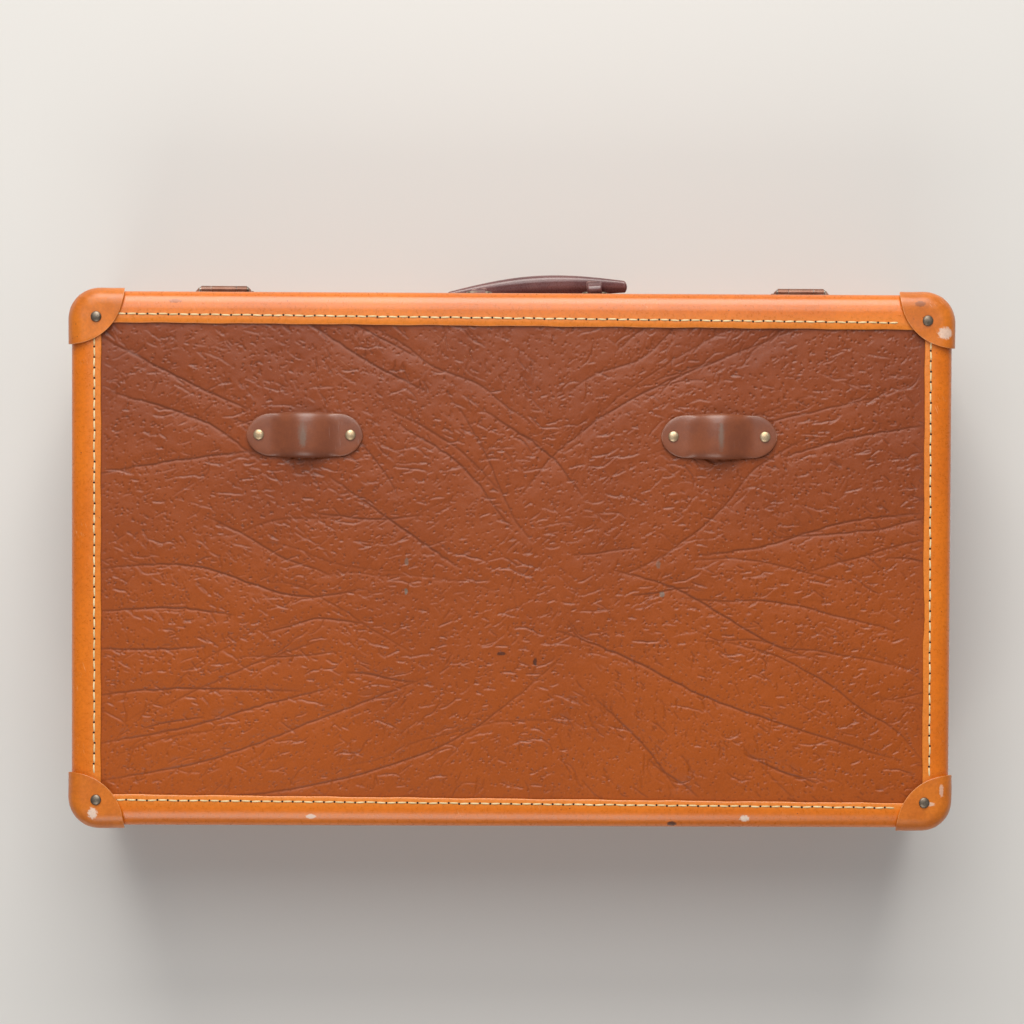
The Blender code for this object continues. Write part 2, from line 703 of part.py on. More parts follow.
def make_handle(base, swing, looks):
    """The leather grip hangs on two wire rings, and each ring turns in its bracket's tube."""
    curve = bpy.data.curves.new("handle_grip", "CURVE")
    curve.dimensions = "3D"
    curve.bevel_depth = GRIP_HALF_THICKNESS
    curve.bevel_resolution = GRIP_ROUND_STEPS
    curve.use_fill_caps = True
    stations = [(2 * step / GRIP_STEPS - 1) for step in range(GRIP_STEPS + 1)]
    body = [(t * (GRIP_LENGTH / 2 - GRIP_TIP), grip_share(t)) for t in stations]
    body = [(-GRIP_LENGTH / 2, GRIP_TIP_SHARE)] + body + [(GRIP_LENGTH / 2, GRIP_TIP_SHARE)]
    spline = curve.splines.new("POLY")
    spline.points.add(len(body) - 1)
    for point, (x, share) in zip(spline.points, body):
        point.co = (x, -grip_reach(x), 0, 1)
        point.radius = share
    widen = Matrix.Diagonal((1, 1, GRIP_HALF_WIDTH / GRIP_HALF_THICKNESS, 1))
    grip = meshed("handle_grip", curve, Matrix.Rotation(GRIP_SKEW, 4, "Y") @ widen)
    lay = Matrix.Rotation(math.pi / 2, 4, "Y")
    grip_at_ring = grip_reach(RING_SPREAD / 2)
    tab_run = grip_at_ring - RING_REACH + 2 * TAB_HALF_WIDTH
    tab_round = TAB_HALF_WIDTH - GAP
    outline = rounded_outline(2 * TAB_HALF_WIDTH, tab_run, tab_round, SMALL_ROUND_STEPS)
    for side in CASE_SIDES.values():
        x = side * RING_SPREAD / 2
        place = Matrix.Translation((x, -(grip_at_ring + RING_REACH) / 2, 0)) @ lay
        tab = slab("grip_tab", [outline], -TAB_LENGTH / 2, TAB_LENGTH / 2, place)
        start = (x - TAB_LENGTH, -RING_REACH, 0)
        end = (x + TAB_LENGTH, -RING_REACH, 0)
        eye = rod("ring_eye", RING_WIRE + GAP, start, end)
        tab.parent = grip
        eye.parent = grip
        weld(grip, tab)
        carve(grip, eye)
    grip = piece(grip, "handle_grip", looks["grip"])
    grip.parent = swing
    for name, side in CASE_SIDES.items():
        wire = bpy.data.curves.new("handle_ring", "CURVE")
        wire.dimensions = "3D"
        wire.bevel_depth = RING_WIRE
        wire.bevel_resolution = WIRE_ROUND_STEPS
        outline = rounded_outline(RING_WIDTH, RING_REACH, RING_BEND, SMALL_ROUND_STEPS)
        loop = wire.splines.new("POLY")
        loop.points.add(len(outline) - 1)
        for point, place in zip(loop.points, outline):
            point.co = (place.x, place.y - RING_REACH / 2, 0, 1)
        loop.use_cyclic_u = True
        hoop = piece(meshed("handle_ring", wire), f"handle_ring_{name}", looks["steel"])
        hoop.parent = swing
        hoop.location = (side * RING_SPREAD / 2, 0, 0)

        at = HANDLE_AXIS + Vector((side * RING_SPREAD / 2, 0, 0))
        back = BRACKET_STANDOFF - GAP
        face = rounded_outline(BRACKET_WIDTH, BRACKET_HEIGHT, BRACKET_ROUND, PLATE_ROUND_STEPS)
        stand = Matrix.Rotation(math.pi / 2, 4, "X")
        plate = slab("handle_bracket", [face], -back, -back + BRACKET_PLATE, stand)
        half_tube = BRACKET_TUBE_LENGTH / 2
        tube = rod("bracket_tube", BRACKET_TUBE_RADIUS, (-half_tube, 0, 0), (half_tube, 0, 0))
        web = box(
            "bracket_web",
            (-half_tube + GAP, 0, -BRACKET_WEB / 2),
            (half_tube - GAP, back - BRACKET_PLATE / 2, BRACKET_WEB / 2),
        )
        bore = rod("bracket_bore", RING_WIRE + GAP, (-half_tube * 2, 0, 0), (half_tube * 2, 0, 0))
        weld(plate, seat(tube, base.carrier, at), seat(web, base.carrier, at))
        carve(plate, seat(bore, base.carrier, at))
        seat(piece(plate, f"handle_bracket_{name}", looks["metal"]), base.carrier, at)


def lock_outline(inset):
    """The lock case seen from its end: a flat top with sloped ends, its back to the wall."""
    half = LOCK_WIDTH / 2 - inset
    top_half = LOCK_TOP_WIDTH / 2 - inset
    depth = LOCK_DEPTH - inset
    upright = [(half, 0), (half, -LOCK_ROUND), (top_half, -depth)]
    return upright + [(-x, y) for x, y in reversed(upright)]


def lock_half_width(depth):
    """How far the lock case's hollow reaches to either side, that far out from the wall."""
    half = LOCK_WIDTH / 2 - LOCK_WALL
    top_half = LOCK_TOP_WIDTH / 2 - LOCK_WALL
    slope_share = (depth - LOCK_ROUND) / (LOCK_DEPTH - LOCK_WALL - LOCK_ROUND)
    return half + (top_half - half) * slope_share


def bolt_outline(side):
    """The spring bolt seen from the front: a nose through the staple, a bar and a foot under the button."""
    bar_far = side * (BOLT_BAR_FROM + BOLT_BAR)
    bar_near = side * BOLT_BAR_FROM
    nose_end = -side * BOLT_NOSE_PAST
    foot_end = -side * BOLT_FOOT / 2
    foot_low = -BUTTON_CENTRE - BOLT_FOOT / 2
    foot_high = -BUTTON_CENTRE + BOLT_FOOT / 2
    nose_low = -STAPLE_CENTRE - BOLT_NOSE / 2
    nose_high = -STAPLE_CENTRE + BOLT_NOSE / 2
    return [
        (bar_far, foot_low),
        (bar_far, nose_high),
        (nose_end, nose_high),
        (nose_end, nose_low),
        (bar_near, nose_low),
        (bar_near, foot_high),
        (foot_end, foot_high),
        (foot_end, foot_low),
    ]


def spring_outline(side):
    """A bent leaf between the bolt's bar and the end of the lock case's hollow."""
    near = side * (BOLT_BAR_FROM + BOLT_BAR + GAP)
    far = side * (lock_half_width(BOLT_STANDOFF + BOLT) - GAP)
    leaf = side * LEAF_SPRING
    rise = LEAF_SPRING_HEIGHT / 2
    return [
        (near, -rise),
        (near + leaf, -rise),
        (far, rise - LEAF_SPRING),
        (far, rise),
        (far - leaf, rise),
        (near, -rise + LEAF_SPRING),
    ]


def make_lock(name, side, base, lid, looks):
    """One hasp lock: case, spring bolt and button on the base, hasp and its plate on the lid."""
    wall = Vector((side * LOCK_SPREAD / 2, -RIM_SURFACE, PARTING_LEVEL))
    top = -LOCK_BELOW_RIM
    foot = top - LOCK_HEIGHT
    outer = [(x, min(y, -GAP)) for x, y in lock_outline(0)]
    case = slab("lock_case", [outer], foot, top)
    inner = [(x, y if y < 0 else OVERRUN) for x, y in lock_outline(LOCK_WALL)]
    hollow = slab("lock_hollow", [inner], foot + LOCK_WALL, top - LOCK_WALL)
    face = -LOCK_DEPTH - OVERRUN
    face_back = -LOCK_DEPTH + LOCK_WALL + GAP
    slot_half = STAPLE / 2 + STAPLE_CLEARANCE
    slot_tall = STAPLE_HEIGHT / 2 + STAPLE_CLEARANCE
    staple_slot = box(
        "staple_slot",
        (-slot_half, face, -STAPLE_CENTRE - slot_tall),
        (slot_half, face_back, -STAPLE_CENTRE + slot_tall),
    )
    stem_half = BUTTON_STEM / 2
    slot_ends = sorted((-side * (stem_half + GAP), side * (stem_half + GAP + BUTTON_TRAVEL)))
    button_slot = box(
        "button_slot",
        (slot_ends[0], face, -BUTTON_CENTRE - stem_half - GAP),
        (slot_ends[1], face_back, -BUTTON_CENTRE + stem_half + GAP),
    )
    carve(case, *[seat(cutter, base.carrier, wall) for cutter in (hollow, staple_slot, button_slot)])
    seat(piece(case, f"lock_case_{name}", looks["metal"]), base.carrier, wall)

    slide = holder(f"lock_button_{name}_slide", wall, base.carrier)
    stand = Matrix.Rotation(math.pi / 2, 4, "X")
    bolt_front = BOLT_STANDOFF + BOLT
    button = slab("lock_button", [bolt_outline(side)], BOLT_STANDOFF, bolt_front, stand)
    thumb_back = -LOCK_DEPTH - GAP
    stem = box(
        "button_stem",
        (-stem_half, thumb_back - BUTTON_ROUND, -BUTTON_CENTRE - stem_half),
        (stem_half, -BOLT_STANDOFF - BOLT / 2, -BUTTON_CENTRE + stem_half),
    )
    thumb = box(
        "button_thumb",
        (-BUTTON_LENGTH / 2, thumb_back - BUTTON_THICKNESS, -BUTTON_CENTRE - BUTTON_HEIGHT / 2),
        (BUTTON_LENGTH / 2, thumb_back, -BUTTON_CENTRE + BUTTON_HEIGHT / 2),
    )
    bevel_edges(thumb, BUTTON_ROUND)
    weld(button, seat(stem, slide, wall), seat(thumb, slide, wall))
    seat(piece(button, f"lock_button_{name}", looks["metal"]), slide, wall)

    place = Matrix.Translation((0, 0, -(BUTTON_CENTRE + STAPLE_CENTRE) / 2)) @ stand
    spring = slab("lock_spring", [spring_outline(side)], BOLT_STANDOFF, bolt_front, place)
    seat(piece(spring, f"lock_spring_{name}", looks["steel"]), base.carrier, wall)

    make_hasp(name, wall, lid, looks)


def bevel_edges(obj, width):
    bm = bmesh.new()
    bm.from_mesh(obj.data)
    bmesh.ops.bevel(
        bm,
        geom=list(bm.edges),
        offset=width,
        segments=BEVEL_STEPS,
        profile=ROUND_PROFILE_SHARE,
        affect="EDGES",
    )
    bm.to_mesh(obj.data)
    bm.free()


def hasp_outline():
    """The hasp's flap seen from the front: a neck, square shoulders and round lower corners."""
    neck = HASP_NECK / 2
    half = HASP_WIDTH / 2
    round_centre = Vector((half - HASP_ROUND, HASP_ROUND - HASP_TONGUE))
    right = [
        (half, HASP_SHOULDER - HASP_CHAMFER),
        (half - HASP_CHAMFER, HASP_SHOULDER),
        (neck, HASP_SHOULDER),
        (neck, HASP_PIVOT_HEIGHT),
    ]
    corner = []
    for step in range(SMALL_ROUND_STEPS + 1):
        angle = math.pi / 2 * (step / SMALL_ROUND_STEPS - 1)
        place = round_centre + HASP_ROUND * Vector((math.cos(angle), math.sin(angle)))
        corner.append((place.x, place.y))
    right = corner + right
    return right + [(-x, z) for x, z in reversed(right)]


def make_hasp(name, wall, lid, looks):
    """The hasp turns on a pin between two ears of its plate, guarded by two sloped cheeks."""
    pivot = wall + Vector((0, -HASP_PIVOT_OUT, HASP_PIVOT_HEIGHT))
    stand = Matrix.Rotation(math.pi / 2, 4, "X")
    height = HASP_PLATE_HIGH - HASP_PLATE_LOW
    rise = Matrix.Translation((0, 0, (HASP_PLATE_HIGH + HASP_PLATE_LOW) / 2)) @ stand
    face = rounded_outline(HASP_PLATE_WIDTH, height, HASP_ROUND, SMALL_ROUND_STEPS)
    plate = slab("hasp_plate", [face], GAP, GAP + HASP_PLATE, rise)
    neck = HASP_NECK / 2
    reach = neck + GAP + HASP_EAR
    for end in (1, -1):
        low, high = sorted((end * (neck + GAP), end * reach))
        ear = rod("hasp_ear", HASP_KNUCKLE, (low, 0, 0), (high, 0, 0))
        web = box(
            "ear_web",
            (low + GAP, 0, -HASP_EAR_WEB / 2),
            (high - GAP, HASP_PIVOT_OUT - GAP - HASP_PLATE / 2, HASP_EAR_WEB / 2),
        )
        slope = [
            (end * HASP_CHEEK_NEAR, -GAP - HASP_PLATE / 2),
            (end * HASP_CHEEK_NEAR, -HASP_PIVOT_OUT - HASP_CHEEK_RISE),
            (end * HASP_CHEEK_FAR, -GAP - HASP_PLATE / 2),
        ]
        cheek_low = HASP_PIVOT_HEIGHT - HASP_EAR_WEB / 2
        cheek = slab("hasp_cheek", [slope], cheek_low, cheek_low + HASP_EAR_WEB)
        weld(plate, seat(ear, lid.carrier, pivot), seat(web, lid.carrier, pivot))
        weld(plate, seat(cheek, lid.carrier, wall))
    bore = rod("hasp_bore", PIN_RADIUS + GAP, (-reach - OVERRUN, 0, 0), (reach + OVERRUN, 0, 0))
    carve(plate, seat(bore, lid.carrier, pivot))
    seat(piece(plate, f"hasp_plate_{name}", looks["metal"]), lid.carrier, wall)
    pin = headed_pin("hasp_pin", 2 * reach)
    seat(piece(pin, f"hasp_pin_{name}", looks["steel"]), lid.carrier, pivot)

    swing = holder(f"hasp_{name}_swing", pivot, lid.carrier)
    hasp = slab("hasp", [hasp_outline()], HASP_FACE, HASP_FACE + HASP, stand)
    eye = rod("hasp_eye", HASP_KNUCKLE, (-neck, 0, 0), (neck, 0, 0))
    past = neck + OVERRUN
    eye_bore = rod("hasp_eye_bore", PIN_RADIUS + GAP, (-past, 0, 0), (past, 0, 0))
    staple = box(
        "hasp_staple",
        (-STAPLE / 2, -HASP_FACE - HASP / 2, -STAPLE_CENTRE - STAPLE_HEIGHT / 2),
        (STAPLE / 2, -HASP_FACE + STAPLE_DEPTH, -STAPLE_CENTRE + STAPLE_HEIGHT / 2),
    )
    play = STAPLE_CLEARANCE / 2
    window = box(
        "staple_window",
        (-STAPLE, -BOLT_STANDOFF - BOLT - play, -STAPLE_CENTRE - STAPLE_WINDOW / 2),
        (STAPLE, -BOLT_STANDOFF + play, -STAPLE_CENTRE + STAPLE_WINDOW / 2),
    )
    weld(hasp, seat(eye, swing, pivot), seat(staple, swing, wall))
    carve(hasp, seat(eye_bore, swing, pivot), seat(window, swing, wall))
    seat(piece(hasp, f"hasp_{name}", looks["metal"]), swing, wall)


def stay_elbow(foot, head):
    """Where the two stay bars meet while the lid is shut, in front of the line between their ends."""
    span = head - foot
    along = (STAY_LOWER**2 - STAY_UPPER**2 + span.length_squared) / (2 * span.length)
    out = math.sqrt(STAY_LOWER**2 - along**2)
    run = span.normalized()
    return foot + run * along + Vector((run.y, -run.x)) * out


def stay_bar(length):
    """A flat bar's outline with round ends, from the origin along +X, with its pivot hole."""
    round_end = STAY_BAR_WIDTH / 2 - GAP
    bar = rounded_outline(length + STAY_BAR_WIDTH, STAY_BAR_WIDTH, round_end, SMALL_ROUND_STEPS)
    turns = [math.tau * step / ROUND_STEPS for step in range(ROUND_STEPS)]
    hole = [(STAY_PIN_RADIUS + GAP) * Vector((math.cos(turn), math.sin(turn))) for turn in turns]
    return [[point + Vector((length / 2, 0)) for point in bar], hole]


def make_stay(base, lid, looks):
    """A folding two-bar stay on the left wall: foot plate, lower bar, upper bar and head plate."""
    foot = Vector((STAY_FOOT_FORWARD, STAY_FOOT_ABOVE - BASE_DEPTH))
    head = Vector((STAY_HEAD_FORWARD, STAY_HEAD_ABOVE))
    elbow = stay_elbow(foot, head)
    collar_face = COLLAR_INSET + COLLAR
    plate_back = LINING_INSET + LINING + GAP
    lower_out = collar_face + STAY_STANDOFF
    upper_out = lower_out + STAY_BAR + GAP

    def spot(point, inset):
        """A place from distances forward of and above the hinge axis, inset from the left wall."""
        wall_x = CASE_LENGTH / 2
        return Vector((wall_x - inset, HINGE_AXIS.y - point.x, HINGE_AXIS.z + point.y))

    def aim(start, end):
        """Turns a bar drawn along +X so that it runs from start to end in the side wall's plane."""
        run = end - start
        to_wall = Matrix(((0, 0, -1, 0), (-1, 0, 0, 0), (0, 1, 0, 0), (0, 0, 0, 1)))
        return Matrix.Rotation(-math.atan2(run.y, run.x), 4, "X") @ to_wall

    def plate(name, carrier, point, thickness):
        outline = rounded_outline(
            STAY_PLATE_LENGTH, STAY_PLATE_HEIGHT, STAY_PLATE_ROUND, PLATE_ROUND_STEPS
        )
        made = slab(name, [outline], 0, thickness, aim(Vector((0, 0)), Vector((1, 0))))
        return seat(made, carrier, spot(point, plate_back))

    def stud(name, carrier, point, radius, start, end):
        made = rod(name, radius, (0, 0, 0), (start - end, 0, 0))
        return seat(made, carrier, spot(point, start))

    def pivot(body, name, carrier, point, start, bar_front):
        """A pin from start with a head a gap in front of the bar that turns on it."""
        head_back = bar_front + GAP
        pin_end = head_back + STAY_HEAD_THICKNESS / 2
        head_front = head_back + STAY_HEAD_THICKNESS
        weld(
            body,
            stud(name + "_pin", carrier, point, STAY_PIN_RADIUS, start, pin_end),
            stud(name + "_head", carrier, point, STAY_HEAD_RADIUS, head_back, head_front),
        )

    foot_plate = plate("stay_foot_plate", base.carrier, foot, STAY_PLATE)
    boss_back = plate_back + STAY_PLATE / 2
    boss_front = lower_out - GAP
    weld(foot_plate, stud("foot_boss", base.carrier, foot, STAY_BOSS_RADIUS, boss_back, boss_front))
    pivot(foot_plate, "foot", base.carrier, foot, boss_front - STAY_PLATE, lower_out + STAY_BAR)
    piece(foot_plate, "stay_foot_plate", looks["steel"])

    swing = holder("stay_lower_swing", spot(foot, lower_out), base.carrier)
    lower = slab("stay_lower_bar", stay_bar(STAY_LOWER), 0, STAY_BAR, aim(foot, elbow))
    seat(lower, swing, spot(foot, lower_out))
    pivot(lower, "elbow", swing, elbow, lower_out + STAY_BAR / 2, upper_out + STAY_BAR)
    piece(lower, "stay_lower_bar", looks["steel"])

    fold = holder("stay_upper_swing", spot(elbow, upper_out), swing)
    upper = slab("stay_upper_bar", stay_bar(STAY_UPPER), 0, STAY_BAR, aim(elbow, head))
    seat(upper, fold, spot(elbow, upper_out))
    boss_start = upper_out + STAY_BAR / 2
    weld(upper, stud("upper_boss", fold, head, STAY_BOSS_RADIUS, boss_start, collar_face + GAP))
    piece(upper, "stay_upper_bar", looks["steel"])

    head_plate = plate("stay_head_plate", lid.carrier, head, collar_face - plate_back)
    piece(head_plate, "stay_head_plate", looks["steel"])


def centre_on_footprint(case):
    """Moves the whole case so that the middle of its outline lies on the origin."""
    bpy.context.view_layer.update()
    graph = bpy.context.evaluated_depsgraph_get()
    reach = []
    for obj in parts.objects:
        if obj.type != "EMPTY":
            shape = obj.evaluated_get(graph)
            reach += [(shape.matrix_world @ vert.co).y for vert in shape.data.vertices]
    case.location.y = -(min(reach) + max(reach)) / 2


def build():
    clear_scene()
    looks = {
        "board": finish("embossed_board"),
        "fibre": finish("edge_fibre"),
        "cap": finish("corner_fibre"),
        "leather": finish("strap_leather"),
        "grip": finish("grip_leather"),
        "lining": finish("lining_paper"),
        "metal": finish("lacquered_metal"),
        "steel": finish("steel"),
        "brass": finish("brass"),
    }
    case = holder("suitcase", (0, 0, 0))
    lid_joint = holder("lid_hinge_axis", HINGE_AXIS, case)
    base = Half("base", BASE_DEPTH, BASE_FACE, 0, case)
    lid = Half("lid", LID_DEPTH, LID_FACE, math.pi, lid_joint)
    make_shell(base, looks)
    lid_holes = [(x, -y) for x, y in loop_rivet_places()]
    make_shell(lid, looks, lid_holes)
    make_corner_caps(base, looks)
    make_corner_caps(lid, looks)
    make_collar(base, looks)
    make_strap_loops(lid, looks)
    make_hinges(base, lid, looks)
    swing = holder("handle_swing_axis", HANDLE_AXIS, case, HANDLE_HANG)
    make_handle(base, swing, looks)
    for name, side in CASE_SIDES.items():
        make_lock(name, side, base, lid, looks)
    make_stay(base, lid, looks)
    centre_on_footprint(case)


build()
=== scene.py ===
"""The look of a vintage cardboard suitcase, dressed over its CAD frame."""

import json
import math
from collections import namedtuple

import bpy
import numpy as np
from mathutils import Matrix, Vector


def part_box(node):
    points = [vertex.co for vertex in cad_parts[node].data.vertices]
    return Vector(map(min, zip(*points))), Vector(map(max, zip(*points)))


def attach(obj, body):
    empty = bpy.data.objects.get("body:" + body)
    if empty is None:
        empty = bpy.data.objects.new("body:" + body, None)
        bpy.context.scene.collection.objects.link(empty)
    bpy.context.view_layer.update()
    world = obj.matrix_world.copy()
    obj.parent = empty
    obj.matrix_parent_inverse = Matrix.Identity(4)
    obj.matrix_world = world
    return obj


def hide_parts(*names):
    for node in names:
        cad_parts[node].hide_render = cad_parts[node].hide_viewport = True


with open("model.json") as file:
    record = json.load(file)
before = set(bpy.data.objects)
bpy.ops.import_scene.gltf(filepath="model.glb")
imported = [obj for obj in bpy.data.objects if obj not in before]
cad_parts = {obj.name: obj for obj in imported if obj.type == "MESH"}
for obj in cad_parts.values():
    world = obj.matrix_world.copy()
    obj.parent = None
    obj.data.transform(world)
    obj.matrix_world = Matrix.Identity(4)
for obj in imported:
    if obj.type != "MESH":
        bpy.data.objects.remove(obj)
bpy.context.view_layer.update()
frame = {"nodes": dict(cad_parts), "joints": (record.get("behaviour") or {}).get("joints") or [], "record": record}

# Places taken from the frame
LID_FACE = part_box("lid_panel")[1][2]
BASE_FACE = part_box("base_panel")[0][2]
LID_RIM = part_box("lid_rim_binding")[1][2]
BASE_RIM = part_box("base_rim_binding")[0][2]
binding_low, binding_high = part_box("lid_binding")
base_binding_low, base_binding_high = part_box("base_binding")
MIDDLE_Y = (binding_low[1] + binding_high[1]) / 2
HALF_X = (binding_high[0] - binding_low[0]) / 2
HALF_Y = (binding_high[1] - binding_low[1]) / 2
CENTRE = Vector((0, MIDDLE_Y, 0))
CORNER_RADIUS = 0.022
BAND_INSET = 0.0016
RIM_INSET = 0.0006
FACE_WIDTH = 0.0245

BINDING = 0.0013
LEG = 0.024
EDGE_RADIUS = 0.010
EDGE_SPREAD = 0.0145
EDGE_STEPS = 12
SECTION_SPACING = 0.004
STRIP_INSET = FACE_WIDTH - 0.005
INNER_WOBBLE = 0.00018
# How far in the binding's inner edge and its seam run, at the two ends of each side
LID_WINDOW = {
    "front": (0.0252, 0.0283),
    "right": (0.0228, 0.0221),
    "back": (0.0255, 0.0200),
    "left": (0.0244, 0.0244),
}
LID_SEAM = {
    "front": (0.0183, 0.0226),
    "right": (0.0181, 0.0166),
    "back": (0.0208, 0.0166),
    "left": (0.0192, 0.0192),
}
TEAR_START = 0.024
TEAR_LENGTH = 0.04
TEAR_DEEPEST = 0.0015

# Corner caps
CAP = 0.0024
CAP_LIFT = 0.0003
CAP_TOP = CAP_LIFT + CAP
CAP_REACH = 0.043
CAP_SPOKES = 96
CAP_RINGS = 20
CAP_INNER_RINGS = 12
CAP_DENT = 0.00022
CAP_ROOT = 0.023
CAP_WIDEST = 2.6
CAP_ROLL = 0.985
SHELL_REACH = 0.08
HALVINGS = 34
EDGE_HALVINGS = 30

# Domed rivets
DOME_SIDES = 28
DOME_STEPS = 7
DOME_HEIGHT = 0.0016
DOME_FOOT = 0.0002

# Strap loops
LOOP_LENGTH = 0.091
LOOP_WIDTH = 0.036
LOOP_LEATHER = 0.0024
LOOP_RISE = 0.008
LOOP_FOOT = 0.017
LOOP_SAG = 0.0026
LOOP_WAIST = 0.1
LOOP_SECTIONS = 54
LOOP_SIDES = 28

# Handle
HANDLE_HANG = math.radians(70)
GRIP_LENGTH = 0.150
GRIP_HALF_THICKNESS = 0.006
GRIP_HALF_WIDTH = 0.0095
GRIP_REACH = 0.017
GRIP_CROWN = 0.017
GRIP_SKEW = math.radians(4)
GRIP_ROUND = 0.85
GRIP_LIP = 0.0011
GRIP_SECTIONS = 64
GRIP_SIDES = 28
RING_SPREAD = 0.096
RING_WIRE = 0.0014
RING_WIDTH = 0.020
RING_REACH = 0.015
RING_BEND = 0.0035
RING_BEND_STEPS = 6
RING_SIDES = 14
TAB_LENGTH = 0.012
TAB_HALF_WIDTH = 0.0046
TAB_STEPS = 8

# The board's embossing
LID_GRID = 0.0007
BASE_GRID = 0.0018
SIDE_GRID = 0.0012
PLATE_TUCK = 0.007
PLATE_THICKNESS = 0.0022
PLATE_SINK = 0.00012
LUMP_SIZE = 0.0042
LUMP_HEIGHT = 0.00008
PEBBLE_SIZE = 0.0016
PEBBLE_HEIGHT = 0.00003
WAVE_LIMIT = 0.0009
# Each kind of groove is pressed so many times per square metre. Its wave is the step from its
# upper to its lower side, as a share of its depth, and its sink is a valley to both sides of it.
# Its heading strays from the given one by spread, and by jitter at each of its bends.
# Its shade is the strength of the painted shade along its upper side.
Groove = namedtuple(
    "Groove", "number depth width slope shortest longest wave sink shade spread jitter"
)
FOLDS = Groove(190, 0.00026, 0.0008, 0.006, 0.05, 0.2, 0.4, 0.0008, 0.8, 0.12, 0.05)
CREASES = Groove(3800, 0.00058, 0.00058, 0.0036, 0.006, 0.03, 0.7, 0.0, 0.75, 0.38, 0.22)
LEANS = Groove(6400, 0.00058, 0.00056, 0.0030, 0.003, 0.013, 0.7, 0.0, 0.75, 0.3, 0.16)
PITS = Groove(46000, 0.00078, 0.00056, 0.0012, 0.001, 0.0030, 0.45, 0.0, 0.85, 0.5, 0.3)
BEND_SPACING = 0.0025
SLOPE_REACH = 2.2
SHORT_ONES = 2.2
FADING = 0.4
NO_DISTANCE = 1e-9
SHADE_OFFSET = 0.8
LIGHT_LEAN = 0.3
FOLD_CENTRE_SHARES = (0.55, 0.52)
CURVE_STEPS = 12
CURVE_SHAKE = 0.0003
# The longest folds, given in percent of the board's width and height
LONG_FOLDS = (
    ((0, 52), (12, 51.5), (24, 57.5), (33, 56)),
    ((0, 61), (9, 60), (17, 61.5)),
    ((0, 68.5), (7, 68.5), (13.5, 68)),
    ((0, 78), (10, 76.5), (25, 77)),
    ((0, 88), (11, 84.5), (20, 80), (29, 76)),
    ((0, 95.7), (14, 91), (28, 82), (40, 74)),
    ((10, 100), (28, 95.5), (44, 86), (56, 70)),
    ((51, 37), (56, 27), (66, 15.5), (85, 2)),
    ((46, 19), (54, 28), (58.5, 37)),
    ((55, 64), (64, 70), (75, 79), (97, 91)),
    ((82, 29), (90, 25), (100, 22)),
    ((1, 5), (10, 13), (19, 20)),
    ((24, 0), (33, 10), (40, 16)),
    ((36, 22), (44, 31), (50, 44)),
    ((72, 49), (80, 47), (90, 42), (100, 40)),
    ((60, 78), (66, 88), (70, 97)),
    ((2, 16), (13, 22), (20, 30)),
    ((62, 52), (70, 56), (80, 66), (86, 70)),
    ((0, 33), (10, 30), (20, 28)),
    ((28, 33), (38, 45), (44, 52)),
)
COVER_LIFT = 0.00004
COVER_HALF_DEPTH = 0.00012
COVER_SINKING = 0.15
COVER_PAST_RIM = 0.002
COVER_PAST_LEG = 0.004

# Sewing
STITCH_PITCH = 0.0082
STITCH_LENGTH = 0.0068
THREAD_WIDTH = 0.0014
THREAD_HEIGHT = 0.0007
STITCH_SIDES = 6
STITCH_RINGS = 5
HAND_SEWN = 0.00022
HAND_SLANT = 0.05
HOLE_RADIUS = 0.0009
HOLE_LIFT = 0.00003
HOLE_SIDES = 10
FACE_STITCH_INSET = 0.0185
LEG_STITCH_INSET = 0.003
RIM_STITCH_INSET = 0.0024
FACE_STITCH_END = 0.0362
LEG_STITCH_END = 0.046

# Small rivets that hold the plates
RIVET_SEARCH = 0.03
RIVET_SINK = 0.0002
RIVET_STEPS = 6
RIVET_SIDES = 20
RIVET_DOME_SHARE = 0.5
LEAF_RIVET = 0.0021
PLATE_RIVET = 0.0018
HASP_PLATE_SHARES = ((0.1, 0.84), (0.9, 0.84))
BRACKET_SHARES = ((0.14, 0.1), (0.86, 0.1), (0.14, 0.9), (0.86, 0.9))
STAY_PLATE_SHARES = ((0.14, 0.5), (0.86, 0.5))


# Shapes


class Shape:
    """Points and faces gathered for one mesh."""

    def __init__(self, points=(), faces=()):
        self.points = []
        self.faces = []
        self.add(points, faces)

    def add(self, points, faces):
        first = len(self.points)
        self.points.extend(tuple(point) for point in points)
        self.faces.extend(tuple(first + index for index in face) for face in faces)

    def made(self, name, finish, body, smooth=True):
        mesh = bpy.data.meshes.new(name)
        mesh.from_pydata(self.points, [], self.faces)
        mesh.materials.append(FINISHES[finish])
        mesh.shade_smooth() if smooth else mesh.shade_flat()
        piece = bpy.data.objects.new(name, mesh)
        bpy.context.scene.collection.objects.link(piece)
        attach(piece, body)
        return piece


def note(piece, name, values):
    """Keeps a number for each point of a piece, for its finish to read."""
    layer = piece.data.attributes.new(name, "FLOAT", "POINT")
    layer.data.foreach_set("value", np.array(values, np.float32))


def grid_faces(rows, columns, around=False, flipped=False):
    """Quads over a grid of points kept row by row; around joins the last column to the first."""
    faces = []
    for row in range(rows - 1):
        here, there = row * columns, (row + 1) * columns
        for column in range(columns if around else columns - 1):
            after = (column + 1) % columns
            faces.append((here + column, here + after, there + after, there + column))
    return [face[::-1] for face in faces] if flipped else faces


def tube_faces(rings, sides):
    """Faces of a tube that is closed at both ends."""
    last = (rings - 1) * sides
    ends = [tuple(reversed(range(sides))), tuple(range(last, last + sides))]
    return grid_faces(rings, sides, around=True) + ends


def loop_faces(rings, sides, flipped=False):
    """Faces of a tube whose last ring meets its first."""
    faces = grid_faces(rings + 1, sides, True, flipped)
    return [tuple(index % (rings * sides) for index in face) for face in faces]


def angles_round(sides):
    return [math.tau * side / sides for side in range(sides)]


